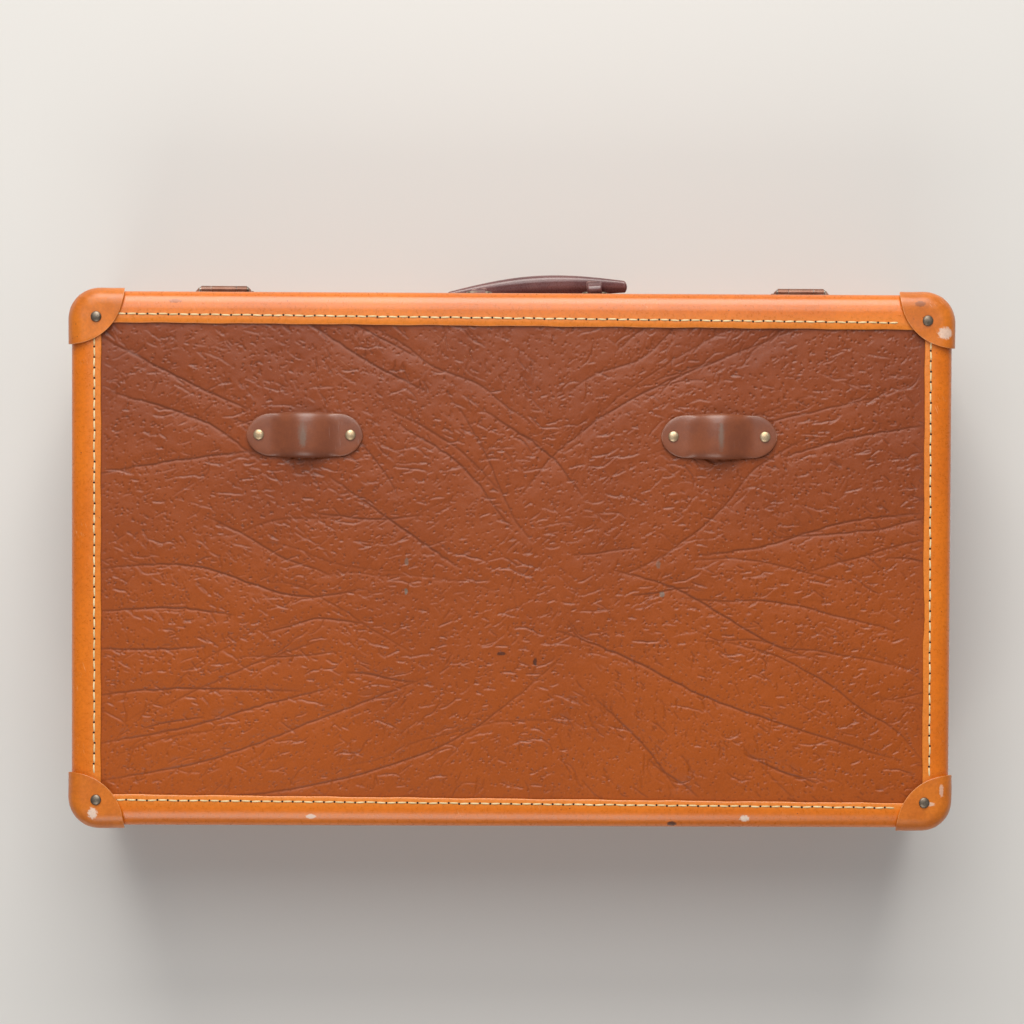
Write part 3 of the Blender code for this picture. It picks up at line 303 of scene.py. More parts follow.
def squarer(value, power):
    """A sine or cosine bent to round a section off less, or more."""
    return math.copysign(abs(value) ** power, value)


def turned(profile, centre, axis, sides):
    """Points and faces of (radius, height) pairs turned about an axis, closed at both ends."""
    axis = Vector(axis).normalized()
    helper = Vector((0, 0, 1)) if abs(axis.z) < 0.9 else Vector((1, 0, 0))
    across = axis.cross(helper).normalized()
    up = axis.cross(across)
    points = []
    for radius, height in profile:
        for angle in angles_round(sides):
            spoke = across * math.cos(angle) + up * math.sin(angle)
            points.append(Vector(centre) + spoke * radius + axis * height)
    return points, tube_faces(len(profile), sides)


def dome(foot, radius, start, height, steps, tip):
    """The profile of a domed head: its foot, and a quarter round that ends in a tiny tip."""
    angles = [math.pi / 2 * step / steps for step in range(1, steps + 1)]
    return foot + [
        (radius * math.cos(angle) + tip, start + height * math.sin(angle)) for angle in angles
    ]


# The embossed hide


def soft_noise(shape, step, blur, draw):
    """Random lumps about blur wide over a grid, with a spread of one."""
    spectrum = np.fft.rfft2(draw.standard_normal(shape))
    rows = np.fft.fftfreq(shape[0], step)[:, None]
    columns = np.fft.rfftfreq(shape[1], step)[None, :]
    spectrum *= np.exp(-2 * (math.pi * blur) ** 2 * (rows**2 + columns**2))
    lumps = np.fft.irfft2(spectrum, shape)
    return lumps / lumps.std()


class Relief:
    """A height field pressed with folds, creases and pits, each with a lip on its lower side and painted shade on
    its upper side.
    """

    def __init__(self, width, height, step, wraps, seed, sinking=1.0):
        self.step = step
        self.wraps = wraps
        self.sinking = sinking
        self.draw = np.random.default_rng(seed)
        self.columns = int(round(width / step)) + (0 if wraps else 1)
        self.rows = int(round(height / step)) + 1
        self.size = np.array([width, height])
        shape = (self.rows, self.columns)
        self.grooves = np.zeros(shape)
        self.painted_groove_shades = np.zeros(shape)
        self.waves = np.zeros(shape)
        self.ground = soft_noise(shape, step, LUMP_SIZE, self.draw) * LUMP_HEIGHT
        self.ground += soft_noise(shape, step, PEBBLE_SIZE, self.draw) * PEBBLE_HEIGHT

    def press(self, points, kind, strength=1.0, size=1.0):
        """Presses a groove along points, in metres from the grid's first corner. The board
        slopes down to its upper side, stands up on its lower side, and levels out over slope."""
        points = np.array(points)
        slope = kind.slope
        width = kind.width * size
        depth = kind.depth * strength
        reach = SLOPE_REACH * slope
        low = np.floor((points.min(0) - reach) / self.step).astype(int)
        high = np.ceil((points.max(0) + reach) / self.step).astype(int)
        rows = np.arange(max(low[1], 0), min(high[1], self.rows - 1) + 1)
        columns = np.arange(low[0], high[0] + 1)
        if not self.wraps:
            columns = columns[(columns >= 0) & (columns < self.columns)]
        if not len(rows) or not len(columns):
            return
        x = columns[None, :] * self.step
        y = rows[:, None] * self.step
        distance = np.full((len(rows), len(columns)), np.inf)
        below = np.zeros(distance.shape)
        fade = np.zeros(distance.shape)
        count = len(points) - 1
        for number, (start, end) in enumerate(zip(points, points[1:])):
            along = end - start
            length = float(np.hypot(*along))
            along = along / length
            far = np.clip((x - start[0]) * along[0] + (y - start[1]) * along[1], 0, length)
            aside_x = x - start[0] - far * along[0]
            aside_y = y - start[1] - far * along[1]
            apart = np.hypot(aside_x, aside_y)
            nearer = apart < distance
            lean = (aside_y - LIGHT_LEAN * aside_x) / (apart + NO_DISTANCE)
            share = (number + far / length) / count
            distance = np.where(nearer, apart, distance)
            below = np.where(nearer, lean, below)
            fade = np.where(nearer, (4 * share * (1 - share)) ** FADING, fade)
        near = fade * np.exp(-((distance / width) ** 2))
        wide = fade * np.exp(-((distance / slope) ** 2)) * below
        ending = np.clip(reach / distance.clip(NO_DISTANCE) - 1, 0, 1)
        valley = fade * np.exp(-distance / slope) * ending
        # dark is painted shade, shifted to the groove's upper side, away from the light.
        shift = SHADE_OFFSET * width
        spread = (distance**2 + 2 * shift * distance * below + shift**2) / width**2
        dark = kind.shade * strength * fade * np.exp(-spread)
        spot = np.ix_(rows, columns % self.columns)
        self.grooves[spot] = np.maximum(self.grooves[spot], depth * near)
        self.painted_groove_shades[spot] = np.maximum(self.painted_groove_shades[spot], dark)
        self.waves[spot] += kind.wave * depth * wide * (1 - near)
        self.waves[spot] -= kind.sink * strength * self.sinking * valley

    def heights(self):
        """(height, painted shade on the upper side of each groove, from 0 to 1) at every grid point."""
        waves = WAVE_LIMIT * np.tanh(self.waves / WAVE_LIMIT)
        return self.ground + waves - self.grooves - PLATE_SINK, np.clip(self.painted_groove_shades, 0, 1)

    def route(self, place, heading, length, jitter):
        """Points from place, on a line that turns a little at each of them."""
        points = [place]
        bends = max(int(length / BEND_SPACING), 1)
        for _ in range(bends):
            heading += self.draw.normal(0, jitter)
            step = length / bends * np.array([math.cos(heading), math.sin(heading)])
            points.append(points[-1] + step)
        return points

    def scatter(self, kind, heading_at):
        """Presses one kind of groove all over, near the heading that heading_at gives."""
        for _ in range(int(kind.number * self.size[0] * self.size[1])):
            place = self.draw.uniform((0, 0), self.size)
            heading = heading_at(*(place / self.size)) + self.draw.normal(0, kind.spread)
            reach = kind.longest - kind.shortest
            length = kind.shortest + reach * self.draw.random() ** SHORT_ONES
            points = self.route(place, heading, length, kind.jitter)
            strength = self.draw.uniform(0.3, 1)
            self.press(points, kind, strength, self.draw.uniform(0.8, 1.1))

    def long_fold(self, percents):
        """Presses one of the long folds, on a smooth curve through its few points."""
        points = [Vector((across / 100, down / 100, 0)) for across, down in percents]
        points = [2 * points[0] - points[1], *points, 2 * points[-1] - points[-2]]
        curve = []
        for before, start, end, after in zip(points, points[1:], points[2:], points[3:]):
            bend = 2 * before - 5 * start + 4 * end - after
            turn = 3 * start - before - 3 * end + after
            for share in np.linspace(0, 1, CURVE_STEPS, endpoint=False):
                ahead = (end - before) * share
                curve.append(0.5 * (2 * start + ahead + bend * share**2 + turn * share**3))
        curve.append(points[-2])
        places = np.array([point[:2] for point in curve]) * self.size
        places += self.draw.normal(0, CURVE_SHAKE, places.shape)
        self.press(places, FOLDS)

    def emboss(self, heading_at, lean_at):
        """Covers the field with folds and creases on one heading, and pits on another."""
        for kind in (FOLDS, CREASES):
            self.scatter(kind, heading_at)
        for kind in (LEANS, PITS):
            self.scatter(kind, lean_at)


def fold_heading(across, down):
    """The folds fan out from a point near the middle; both places are shares of the board."""
    away_x = (across - FOLD_CENTRE_SHARES[0]) * HALF_X
    away_y = (down - FOLD_CENTRE_SHARES[1]) * HALF_Y
    slope = math.atan2(away_y * math.copysign(1, away_x), abs(away_x) + 0.09)
    return slope + 0.22 * math.sin(14 * across + 1.3) * math.cos(11 * down)


def pit_heading(across, down):
    """The pits lean away from the folds, one way or the other from patch to patch."""
    patch = math.sin(11 * across + 4 * down + 0.6) + math.sin(9 * down - 5 * across)
    return fold_heading(across, down) - 0.7 * math.tanh(2 * patch)


def side_heading(across, down):
    return 0.25 * math.sin(32 * across) + 0.5 * math.sin(12 * across + 2 * down)


def embossed_plate(name, body, face_z, outward, seed, grid, stands_for):
    """A board plate with an embossed face at face_z that looks along +Z or -Z."""
    half_x = HALF_X - FACE_WIDTH + PLATE_TUCK
    half_y = HALF_Y - FACE_WIDTH + PLATE_TUCK
    relief = Relief(2 * half_x, 2 * half_y, grid, False, seed)
    for percents in LONG_FOLDS:
        relief.long_fold(percents)
    relief.emboss(fold_heading, pit_heading)
    heights, painted_groove_shade = relief.heights()
    rows, columns = heights.shape
    x = np.linspace(half_x, -half_x, columns)
    y = np.linspace(-half_y, half_y, rows) + MIDDLE_Y
    inner_x = (half_x - np.abs(x))[None, :]
    inner_y = (half_y - np.abs(y - MIDDLE_Y))[:, None]
    shown = np.clip(np.minimum(inner_x, inner_y) / PLATE_TUCK - 0.9, 0, 1)
    heights = heights * shown - PLATE_SINK * (1 - shown)
    grid_x, grid_y = np.meshgrid(x, y)
    top = np.stack([grid_x, grid_y, face_z + outward * heights], axis=-1).reshape(-1, 3)
    # x runs from +half to -half, so unflipped quads look along -Z.
    shape = Shape(top.tolist(), grid_faces(rows, columns, flipped=outward > 0))
    index = np.arange(rows * columns).reshape(rows, columns)
    rim = [index[0], index[1:, -1], index[-1, -2::-1], index[-2:0:-1, 0]]
    rim = np.concatenate(rim).tolist()
    first, count = len(shape.points), len(rim)
    back_z = face_z - outward * PLATE_THICKNESS
    shape.points.extend((*shape.points[place][:2], back_z) for place in rim)
    walls = []
    for number in range(count):
        after = (number + 1) % count
        walls.append((rim[number], rim[after], first + after, first + number))
    walls.append(tuple(range(first, first + count)))
    shape.faces.extend(walls if outward > 0 else [wall[::-1] for wall in walls])
    piece = shape.made(name, "board", body)
    # The painted shade of the grooves is kept on the points for the board's finish.
    note(piece, "painted_groove_shade", np.concatenate([painted_groove_shade.reshape(-1), np.zeros(count)]))
    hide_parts(stands_for)


def outline_at(inset, spacing):
    """(places, outward directions, length) round the case's rounded rectangle, inset from it."""
    half_x = HALF_X - inset
    half_y = HALF_Y - inset
    radius = CORNER_RADIUS - inset
    straight_x = half_x - radius
    straight_y = half_y - radius
    quarter = radius * math.pi / 2
    total = 4 * (straight_x + straight_y + quarter)
    count = max(8, int(round(total / spacing)))
    sides = [
        (Vector((straight_x, -half_y, 0)), Vector((-1, 0, 0)), 2 * straight_x),
        (Vector((-half_x, -straight_y, 0)), Vector((0, 1, 0)), 2 * straight_y),
        (Vector((-straight_x, half_y, 0)), Vector((1, 0, 0)), 2 * straight_x),
        (Vector((half_x, straight_y, 0)), Vector((0, -1, 0)), 2 * straight_y),
    ]
    places = []
    outwards = []
    for step in range(count):
        far = total * step / count
        for start, along, length in sides:
            outward = Vector((-along.y, along.x, 0))
            if far <= length:
                places.append(start + along * far + CENTRE)
                outwards.append(outward)
                break
            far -= length
            if far <= quarter:
                angle = far / radius
                pivot = start + along * length - outward * radius
                spoke = outward * math.cos(angle) + along * math.sin(angle)
                places.append(pivot + spoke * radius + CENTRE)
                outwards.append(spoke)
                break
            far -= quarter
    return places, outwards, total


def embossed_cover(name, body, low, high, seed):
    """Embossed paper round a band of the case, from height low to height high."""
    places, outwards, total = outline_at(BAND_INSET, SIDE_GRID)
    relief = Relief(total, high - low, total / len(places), True, seed, COVER_SINKING)
    relief.emboss(side_heading, side_heading)
    heights, painted_groove_shade = relief.heights()
    heights = np.tanh((heights + PLATE_SINK) / COVER_HALF_DEPTH)
    heights = COVER_HALF_DEPTH * (1 + heights) + COVER_LIFT
    base = np.array([place[:2] for place in places])
    out = np.array([outward[:2] for outward in outwards])
    flat = base + out * heights[:, :, None]
    levels = np.repeat(np.linspace(low, high, relief.rows), relief.columns)
    points = np.column_stack([flat.reshape(-1, 2), levels]).tolist()
    faces = grid_faces(relief.rows, relief.columns, around=True, flipped=True)
    piece = Shape(points, faces).made(name, "board", body)
    # The painted shade of the grooves is kept on the points for the board's finish.
    note(piece, "painted_groove_shade", painted_groove_shade.reshape(-1))


# Bindings, caps, loops and handle


def binding_section():
    """(inset, depth below the face) round the binding's section, from the leg's outer edge."""
    outer = [(0.0003, LEG), (0, LEG - 0.0007)]
    inner = []
    back_spread = EDGE_SPREAD - BINDING
    back_radius = EDGE_RADIUS - BINDING
    for step in range(EDGE_STEPS + 1):
        angle = math.pi / 2 * step / EDGE_STEPS
        short, far = 1 - math.cos(angle), 1 - math.sin(angle)
        outer.append((EDGE_SPREAD * short, EDGE_RADIUS * far))
        inner.append((BINDING + back_spread * short, BINDING + back_radius * far))
    outer += [(FACE_WIDTH - 0.0045, 0), (FACE_WIDTH - 0.0007, 0), (FACE_WIDTH - 0.0002, 0.0002)]
    outer += [(FACE_WIDTH, 0.0007), (FACE_WIDTH, BINDING)]
    return outer + inner[::-1] + [(BINDING, LEG)]


def inset_at(table, place, outward):
    """How far in from the case's side an uneven line runs, from a table of its two ends."""
    if abs(outward.x) > abs(outward.y):
        share = (place.y - MIDDLE_Y) / (2 * HALF_Y) + 0.5
        first, last = table["left" if outward.x > 0 else "right"]
    else:
        share = 0.5 - place.x / (2 * HALF_X)
        first, last = table["back" if outward.y > 0 else "front"]
    return first + (last - first) * share


def torn_inset(place, outward):
    """How far the binding's inner edge is torn back, along one stretch of the right side."""
    along = (place.y - MIDDLE_Y - TEAR_START) / TEAR_LENGTH
    if outward.x > -0.5 or not 0 < along < 1:
        return 0.0
    ragged = 0.7 + 0.3 * math.sin(41 * along) * math.sin(17 * along)
    return TEAR_DEEPEST * math.sin(math.pi * along) ** 0.6 * ragged


def edge_binding(name, body, face_z, up, node):
    """The fibre binding swept round a face's edge, with a slightly uneven inner edge."""
    section = binding_section()
    places, outwards, _ = outline_at(0, SECTION_SPACING)
    points = []
    for number, (place, outward) in enumerate(zip(places, outwards)):
        turn = math.tau * number / len(places)
        uneven = INNER_WOBBLE * (math.sin(31 * turn) + 0.6 * math.sin(73 * turn + 1))
        if up > 0:
            uneven += inset_at(LID_WINDOW, place, outward) - FACE_WIDTH
            uneven -= torn_inset(place, outward)
        for inset, depth in section:
            shift = uneven if inset > STRIP_INSET else 0.0
            spot = place - outward * (inset + shift)
            points.append((spot.x, spot.y, face_z - up * depth))
    faces = loop_faces(len(places), len(section), up > 0)
    piece = Shape(points, faces).made(name, "fibre", body)
    note(piece, "strip", [inset > STRIP_INSET for inset, _ in section] * len(places))
    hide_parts(node)


def shell_gap(points, lift, face_z, up):
    """Signed distance of points from the case's rounded outer shell, grown by lift."""
    half = np.array([HALF_X, HALF_Y]) + lift
    radius = CORNER_RADIUS + lift
    edge = EDGE_RADIUS + lift
    flat = np.abs(points[..., :2] - np.array([0, MIDDLE_Y])) - half + radius
    outside = np.hypot(np.maximum(flat[..., 0], 0), np.maximum(flat[..., 1], 0))
    inside = np.minimum(np.maximum(flat[..., 0], flat[..., 1]), 0)
    side = outside + inside - radius + edge
    height = (points[..., 2] - face_z) * up - lift + edge
    beyond = np.hypot(np.maximum(side, 0), np.maximum(height, 0))
    return beyond + np.minimum(np.maximum(side, height), 0) - edge


def shell_point(start, ways, lift, face_z, up):
    """Where rays from inside the shell leave it."""
    near = np.zeros(ways.shape[:-1])
    far = np.full(ways.shape[:-1], SHELL_REACH)
    for _ in range(HALVINGS):
        middle = (near + far) / 2
        out = shell_gap(start + ways * middle[..., None], lift, face_z, up) > 0
        far = np.where(out, middle, far)
        near = np.where(out, near, middle)
    return start + ways * near[..., None]


def corner_cap(name, body, side, end, face_z, up, node, seed):
    """A formed fibre cap: the part of the shell within reach of a corner, with a rolled edge."""
    corner = np.array([side * HALF_X, MIDDLE_Y + end * HALF_Y, face_z])
    inward = np.array([-side, -end, -up], float)
    start = corner + inward * CAP_ROOT
    middle = -inward / math.sqrt(3)
    first = np.cross(middle, [0, 0, 1.0])
    first /= np.linalg.norm(first)
    second = np.cross(middle, first)
    turns = math.tau * np.arange(CAP_SPOKES) / CAP_SPOKES
    spokes = np.cos(turns)[:, None] * first + np.sin(turns)[:, None] * second

    def ring_at(angles, lift):
        """(points, ways to them from the root) at these angles off the corner's diagonal."""
        ways = np.cos(angles)[..., None] * middle + np.sin(angles)[..., None] * spokes
        return shell_point(start, ways, lift, face_z, up), ways

    low = np.zeros(CAP_SPOKES)
    high = np.full(CAP_SPOKES, CAP_WIDEST)
    for _ in range(EDGE_HALVINGS):
        angles = (low + high) / 2
        far = np.linalg.norm(ring_at(angles, CAP_TOP)[0] - corner, axis=-1) > CAP_REACH
        high = np.where(far, angles, high)
        low = np.where(far, low, angles)
    edge = (low + high) / 2
    # The rings: over the top, down the rolled edge, and back along the underside
    rings = [((ring + 1) / CAP_RINGS * CAP_ROLL, CAP_TOP) for ring in range(CAP_RINGS)]
    rings += [(0.993, CAP_TOP - 0.00012), (0.998, CAP_TOP - 0.0005), (1.0, CAP_TOP - 0.0011)]
    rings += [(1.0, CAP_LIFT + 0.0002), (0.99, CAP_LIFT)]
    rings += [(1 - ring / CAP_INNER_RINGS, CAP_LIFT) for ring in range(1, CAP_INNER_RINGS)]
    phase, other_phase = np.random.default_rng(seed).uniform(0, math.tau, 2)
    points = [*shell_point(start, middle[None, :], CAP_TOP, face_z, up)]
    for share, lift in rings:
        spots, ways = ring_at(edge * share, lift)
        if lift == CAP_TOP:
            wave = np.sin(3 * turns + phase + 4 * share)
            dent = CAP_DENT * wave * np.sin(5 * share + other_phase)
            spots = spots - ways * np.abs(dent)[:, None]
        points.extend(spots)
    points.extend(shell_point(start, middle[None, :], CAP_LIFT, face_z, up))
    after = [(spoke + 1) % CAP_SPOKES for spoke in range(CAP_SPOKES)]
    last = 1 + (len(rings) - 1) * CAP_SPOKES
    faces = [(0, 1 + spoke, 1 + after[spoke]) for spoke in range(CAP_SPOKES)]
    for here, beside, across, below in grid_faces(len(rings), CAP_SPOKES, around=True):
        faces.append((1 + here, 1 + below, 1 + across, 1 + beside))
    tip = len(points) - 1
    faces += [(last + spoke, tip, last + after[spoke]) for spoke in range(CAP_SPOKES)]
    piece = Shape([map(float, point) for point in points], faces).made(name, "cap", body)
    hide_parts(node)


def domed_head(name, body, node, outward, slot):
    """A smooth domed rivet head in the place of a plain one."""
    low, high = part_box(node)
    radius = (high[0] - low[0]) / 2
    centre = [(low[axis] + high[axis]) / 2 for axis in range(3)]
    centre[2] = (high[2] if outward > 0 else low[2]) - outward * DOME_HEIGHT
    foot = [(radius * 0.9, -0.0004), (radius * 0.99, -0.0001), (radius, DOME_FOOT)]
    rise = DOME_HEIGHT - DOME_FOOT
    profile = dome(foot, radius * 0.985, DOME_FOOT, rise, DOME_STEPS, 1e-5)
    shape = Shape(*turned(profile, centre, (0, 0, outward), DOME_SIDES))
    piece = shape.made(name, slot, body)
    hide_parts(node)


def strap_loop(name, node):
    """A bowed leather loop: wider in the middle, its long edges drooping a little."""
    low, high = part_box(node)
    centre = Vector(((low[0] + high[0]) / 2, (low[1] + high[1]) / 2, low[2]))
    bow = LOOP_LENGTH / 2 - LOOP_FOOT
    round_from = LOOP_LENGTH / 2 - LOOP_WIDTH / 2
    points = []
    for section in range(LOOP_SECTIONS + 1):
        share = 2 * section / LOOP_SECTIONS - 1
        x = LOOP_LENGTH / 2 * math.sin(share * math.pi / 2)
        past = max(abs(x) - round_from, 0) / (LOOP_WIDTH / 2)
        half = LOOP_WIDTH / 2 * math.sqrt(max(1 - past**2, 0)) + 0.00002
        bowed = (1 - (x / bow) ** 2) ** 2 if abs(x) < bow else 0.0
        half *= 1 - LOOP_WAIST * (1 - math.cos(math.pi * x / LOOP_LENGTH) ** 2)
        lift = LOOP_RISE * bowed
        thick = min(LOOP_LEATHER, half * 2)
        for angle in angles_round(LOOP_SIDES):
            across = squarer(math.cos(angle), 0.4)
            up = squarer(math.sin(angle), 0.6)
            droop = min(LOOP_SAG, lift) * across**6
            z = LOOP_LEATHER / 2 + thick / 2 * up + lift - droop
            points.append(centre + Vector((x, half * across, z)))
    shape = Shape(points, tube_faces(LOOP_SECTIONS + 1, LOOP_SIDES))
    piece = shape.made(name, "strap_leather", "lid")
    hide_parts(node)


def handle_place(axis, x, reach, out, skew=GRIP_SKEW):
    """A point of the hanging handle: x along it, reach from its pivot, out off its plane."""
    skewed_x = x * math.cos(skew) + out * math.sin(skew)
    out = out * math.cos(skew) - x * math.sin(skew)
    cos, sin = math.cos(HANDLE_HANG), math.sin(HANDLE_HANG)
    return axis + Vector((skewed_x, -reach * cos - out * sin, -reach * sin + out * cos))


def grip_reach(x):
    return GRIP_REACH + GRIP_CROWN * math.cos(math.pi * x / GRIP_LENGTH)


def leather_grip(axis):
    """The bowed grip with a sewn lip along its inner side, and a tab round each ring."""
    points = []
    for section in range(GRIP_SECTIONS + 1):
        share = math.sin(math.pi / 2 * (2 * section / GRIP_SECTIONS - 1))
        x = share * GRIP_LENGTH / 2
        full = 0.5 + 0.5 * math.cos(math.pi * share / 2)
        full *= min(1, (1.0004 - abs(share)) * 40) ** 0.5
        for side, angle in enumerate(angles_round(GRIP_SIDES)):
            deep = squarer(math.cos(angle), GRIP_ROUND)
            wide = squarer(math.sin(angle), GRIP_ROUND)
            lip = GRIP_LIP if side == GRIP_SIDES // 2 else 0.0
            reach = grip_reach(x) + full * (GRIP_HALF_THICKNESS * deep) - lip * full
            points.append(handle_place(axis, x, reach, full * GRIP_HALF_WIDTH * wide))
    shape = Shape(points, tube_faces(GRIP_SECTIONS + 1, GRIP_SIDES))
    for end in (-1, 1):
        add_tab(shape, axis, end * RING_SPREAD / 2)
    piece = shape.made("leather_grip", "grip_leather", "handle")
    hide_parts("handle_grip")


def add_tab(shape, axis, x):
    """A folded leather tab from the ring's bar to the grip."""
    ring = []
    for step in range(TAB_STEPS + 1):
        angle = math.pi / 2 + math.pi * step / TAB_STEPS
        ring.append((RING_REACH + TAB_HALF_WIDTH * math.cos(angle), math.sin(angle)))
    ring += [(grip_reach(x), -1.0), (grip_reach(x), 1.0)]
    half = TAB_LENGTH / 2
    # The tab's ends are rounded off: each ring's place, and how full it is
    offsets = [(-half, 0.82), (-half + 0.0006, 0.97), (-half + 0.0014, 1.0)]
    offsets += [(half - 0.0014, 1.0), (half - 0.0006, 0.97), (half, 0.82)]
    points = []
    for offset, full in offsets:
        for reach, out in ring:
            kept = RING_REACH + (reach - RING_REACH) * full
            points.append(handle_place(axis, x + offset, kept, out * full * TAB_HALF_WIDTH))
    shape.add(points, tube_faces(len(offsets), len(ring)))


def wire_ring(name, axis, x, node):
    """A bent wire ring through its bracket's tube and the grip's tab."""
    half = RING_WIDTH / 2
    corners = ((half, RING_REACH), (-half, RING_REACH), (-half, 0.0), (half, 0.0))
    path = []
    for corner, (centre_x, centre_y) in enumerate(corners):
        bend_x = centre_x - math.copysign(RING_BEND, centre_x)
        bend_y = centre_y + (RING_BEND if centre_y == 0 else -RING_BEND)
        for step in range(RING_BEND_STEPS + 1):
            angle = math.pi * (corner / 2 + step / (2 * RING_BEND_STEPS))
            along = bend_x + RING_BEND * math.cos(angle)
            path.append((along, bend_y + RING_BEND * math.sin(angle)))
    points = []
    for index, (along, reach) in enumerate(path):
        before, after = path[index - 1], path[(index + 1) % len(path)]
        way = Vector((after[0] - before[0], after[1] - before[1])).normalized()
        for angle in angles_round(RING_SIDES):
            out = RING_WIRE * math.sin(angle)
            aside = RING_WIRE * math.cos(angle)
            spot_x = x + along + way.y * aside
            points.append(handle_place(axis, spot_x, reach - way.x * aside, out, skew=0))
    piece = Shape(points, loop_faces(len(path), RING_SIDES)).made(name, "steel", "handle")
    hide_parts(node)


def build_handle():
    joint = next(joint for joint in frame["joints"] if joint["name"] == "handle_swing")
    axis = Vector(joint["pos_m"])
    leather_grip(axis)
    for side, where in ((1, "left"), (-1, "right")):
        x = side * RING_SPREAD / 2
        wire_ring(f"wire_ring_{where}", axis, x, f"handle_ring_{where}")


def build_edges():
    """Bindings, caps and their rivets on both faces, and the strap loops."""
    seed = 30
    for body, z, up in (("lid", binding_high[2], 1), ("base", base_binding_low[2], -1)):
        edge_binding(f"{body}_edge", body, z, up, f"{body}_binding")
        for end, end_name in ((-1, "front"), (1, "back")):
            for side, side_name in ((1, "left"), (-1, "right")):
                where = f"{end_name}_{side_name}"
                seed += 1
                name, node = f"{body}_corner_{where}", f"{body}_cap_{where}"
                corner_cap(name, body, side, end, z, up, node, seed)
                name, node = f"{body}_corner_head_{where}", f"{body}_cap_rivet_{where}"
                domed_head(name, body, node, up, "steel")
    for side in ("left", "right"):
        strap_loop(f"leather_loop_{side}", f"strap_loop_{side}")
        for where in ("left", "right"):
            node = f"strap_loop_{side}_rivet_{where}"
            domed_head(f"loop_head_{side}_{where}", "lid", node, 1, "brass")


# Sewing


def add_stitch(thread, holes, middle, along, outward):
    """One stitch that dips into the board at both ends, with a dark disc of painted shade for the needle hole at
    its start.
    """
    across = outward.cross(along)
    points = []
    for ring in range(STITCH_RINGS):
        share = ring / (STITCH_RINGS - 1)
        swell = math.sin(math.pi * (0.12 + 0.76 * share)) ** 0.5
        lift = THREAD_HEIGHT * (1.6 * swell - 1.15)
        spot = middle + along * (STITCH_LENGTH * (share - 0.5)) + outward * lift
        for angle in angles_round(STITCH_SIDES):
            aside = across * (math.cos(angle) * THREAD_WIDTH / 2 * swell)
            points.append(spot + aside + outward * (math.sin(angle) * THREAD_HEIGHT / 2 * swell))
    thread.add(points, tube_faces(STITCH_RINGS, STITCH_SIDES))
    # Each needle hole is a flat dark disc just above the face: painted shade where the hole is.
    hole = middle - along * (STITCH_PITCH / 2) + outward * HOLE_LIFT
    points = []
    for angle in angles_round(HOLE_SIDES):
        ahead = along * (math.cos(angle) * HOLE_RADIUS)
        points.append(hole + ahead + across * (math.sin(angle) * HOLE_RADIUS))
    holes.add(points, [tuple(range(HOLE_SIDES))])


def sew(thread, holes, start, end, outward):
    """A row of whole stitches from start to end."""
    start, end, outward = Vector(start), Vector(end), Vector(outward)
    along = (end - start).normalized()
    across = outward.cross(along)
    for number in range(int((end - start).length / STITCH_PITCH)):
        middle = start + along * (STITCH_PITCH * (number + 0.5))
        aside = HAND_SEWN * math.sin(2.7 * number) * math.sin(1.1 * number + start.x)
        slant = HAND_SLANT * math.sin(1.9 * number + 40 * start.y)
        way = (along + across * slant).normalized()
        add_stitch(thread, holes, middle + across * aside, way, outward)


def sew_face(thread, holes, z, outward, seam):
    """Stitches along the four sides of a binding's flat face, on the lines that seam gives."""
    reach_x = HALF_X - FACE_STITCH_END
    reach_y = HALF_Y - FACE_STITCH_END
    low, high = MIDDLE_Y - reach_y, MIDDLE_Y + reach_y
    for side, name in ((-1, "front"), (1, "back")):
        first, last = (MIDDLE_Y + side * (HALF_Y - inset) for inset in seam[name])
        sew(thread, holes, (reach_x, first, z), (-reach_x, last, z), (0, 0, outward))
    for side, name in ((-1, "right"), (1, "left")):
        first, last = (side * (HALF_X - inset) for inset in seam[name])
        sew(thread, holes, (first, low, z), (last, high, z), (0, 0, outward))


def sew_leg(thread, holes, z):
    """Stitches along the four sides of a binding's leg on the band."""
    reach_x = HALF_X - LEG_STITCH_END
    reach_y = HALF_Y - LEG_STITCH_END
    low, high = MIDDLE_Y - reach_y, MIDDLE_Y + reach_y
    for side in (-1, 1):
        x, y = side * HALF_X, MIDDLE_Y + side * HALF_Y
        sew(thread, holes, (-reach_x, y, z), (reach_x, y, z), (0, side, 0))
        sew(thread, holes, (x, low, z), (x, high, z), (side, 0, 0))


def sew_rim(thread, holes, z, clear):
    """Stitches round a rim binding, left out where a plate covers it."""
    for place, outward in zip(*outline_at(RIM_INSET, STITCH_PITCH)[:2]):
        covered = any(
            low - STITCH_PITCH < place.x < high + STITCH_PITCH
            and (place.y - MIDDLE_Y) * side > HALF_Y * 0.9
            for low, high, side in clear
        )
        if not covered:
            along = Vector((0, 0, 1)).cross(outward)
            add_stitch(thread, holes, Vector((place.x, place.y, z)), along, outward)


